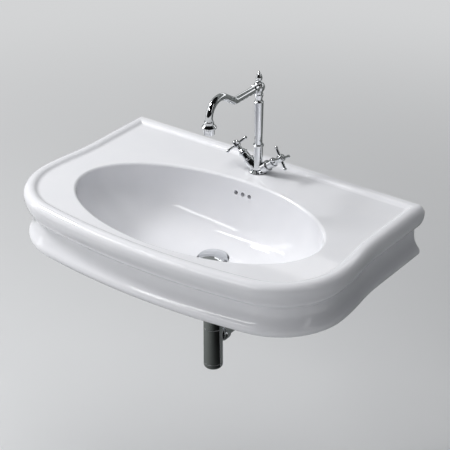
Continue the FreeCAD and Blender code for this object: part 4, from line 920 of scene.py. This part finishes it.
FLOOR, FAR, TENT = -0.77, 40.0, 6.0
# The tent's near-black colours paint dark reflections on the chrome.
DARK = "#101111", "#070808", (-TENT, TENT), 0.0
board("floor", level(-FAR, FAR, -FAR, FAR, FLOOR), studio_floor_paint())
# Cards seen only in reflections, as painted reflections: card_behind a grey wall, darker to the right as
# painted shade; card_below painted shade of the floor under the basin, near black to the right; the stripe
# card glows as a painted highlight on the spout though it is no lamp.
for name, corners, first, last, reach, glow in (
    ("card_behind", upright(-1.4, 0.14, 1.4, 0.14, -0.7, 1.1), "#8E918F", "#777A78", (-0.6, 0.6), 0.0),
    ("glowing_highlight_card", upright(-0.23, 0.135, 0.6, 0.135, 0.37, 0.45), "#F2F2F2", "#EEEEEE", (-0.6, 0.6), 0.7),
    ("card_below", level(-0.9, 1.0, -1.1, 0.14, -0.72), "#717571", "#050605", (-0.7, 0.7), 0.0),
    ("tent_front", upright(-TENT, -TENT, TENT, -TENT, FLOOR, TENT), *DARK),
    ("tent_right", upright(TENT, -TENT, TENT, TENT, FLOOR, TENT), *DARK),
    ("tent_top", level(-TENT, TENT, -TENT, TENT, TENT), *DARK),
):
    card = board(name, corners, painted_reflection_card(name + "_paper", first, last, reach, glow))
    card.visible_camera = card.visible_diffuse = card.visible_shadow = card.visible_transmission = False

world = bpy.data.worlds.new("studio")
bpy.context.scene.world = world
world.use_nodes = True
sky = world.node_tree
sky.nodes.clear()
room = add(sky, "ShaderNodeBackground", {"Color": linear("#E6EAF0"), "Strength": 0.13})
surround = add(sky, "ShaderNodeBackground", {"Color": linear(SURROUND)})
both = add(sky, "ShaderNodeMixShader", links={
    "Fac": seen(sky), 1: room.outputs["Background"], 2: surround.outputs["Background"]})
add(sky, "ShaderNodeOutputWorld", links={"Surface": both.outputs["Shader"]})

MIDDLE = Vector((0.0, -0.25, 0.08))


def softbox(name, way, along, distance, length, width, brightness, glossy=True):
    """A lamp that way from the basin, stretched along a line, that lights a white face to brightness."""
    lamp = bpy.data.lights.new(name, "AREA")
    lamp.shape = "RECTANGLE"
    lamp.size, lamp.size_y = length, width
    lamp.energy = brightness * (math.pi * distance) ** 2
    made = in_scene(name, lamp)
    back = Vector(way).normalized()
    side = (Vector(along) - back * back.dot(Vector(along))).normalized()
    made.matrix_world = Matrix.Translation(MIDDLE + back * distance) @ Matrix(
        (side, back.cross(side), back)).transposed().to_4x4()
    made.visible_glossy = glossy


# Name, way, line, then distance, length and width in metres, and brightness.
softbox("key_box", (-0.74, -0.18, 0.65), (-0.99, 0.16, 0.0), 3.8, 0.6, 0.6, 0.41)
softbox("key_strip", (-0.69, -0.29, 0.66), (-0.99, 0.16, 0.0), 3.8, 2.7, 0.30, 0.19)
softbox("front_strip", (-0.26, -0.77, 0.59), (-0.93, 0.36, 0.09), 3.8, 2.6, 0.35, 0.12)
softbox("top_box", (-0.1, 0.0, 1.0), (1.0, 0.0, 0.0), 2.6, 2.4, 2.0, 0.46, False)
softbox("front_box", (0.0, -1.0, 0.1), (1.0, 0.0, 0.0), 3.2, 2.4, 1.2, 0.15, False)
softbox("strip_left", (-1.0, -0.35, 0.3), (0.0, 0.0, 1.0), 2.4, 1.8, 0.25, 0.05)
softbox("strip_right", (1.0, -0.2, 0.5), (0.0, 0.0, 1.0), 2.4, 1.8, 0.25, 0.03)

AZIMUTH, ELEVATION = math.radians(36.07), math.radians(28.62)
FOCAL_PIXELS, FRAME_PIXELS, SENSOR = 1670.11, 450.0, 36.0
AIM, AIM_PIXEL, DISTANCE = Vector((0.0, 0.0, 0.085)), (273.5, 158.3), 3.7655
right = Vector((math.cos(AZIMUTH), math.sin(AZIMUTH), 0.0))
ahead = Vector((-math.sin(AZIMUTH) * math.cos(ELEVATION), math.cos(AZIMUTH) * math.cos(ELEVATION),
                -math.sin(ELEVATION)))
above = right.cross(ahead)
across = (AIM_PIXEL[0] - FRAME_PIXELS / 2) / FOCAL_PIXELS
down = (AIM_PIXEL[1] - FRAME_PIXELS / 2) / FOCAL_PIXELS
camera = in_scene("camera", bpy.data.cameras.new("camera"))
camera.data.sensor_width = SENSOR
camera.data.lens = SENSOR * FOCAL_PIXELS / FRAME_PIXELS
camera.data.clip_start, camera.data.clip_end = 0.1, 60.0
camera.matrix_world = Matrix.Translation(AIM - DISTANCE * (ahead + across * right - down * above)) @ Matrix(
    (right, above, -ahead)).transposed().to_4x4()
bpy.context.scene.camera = camera
bpy.context.scene.view_settings.view_transform = "Standard"
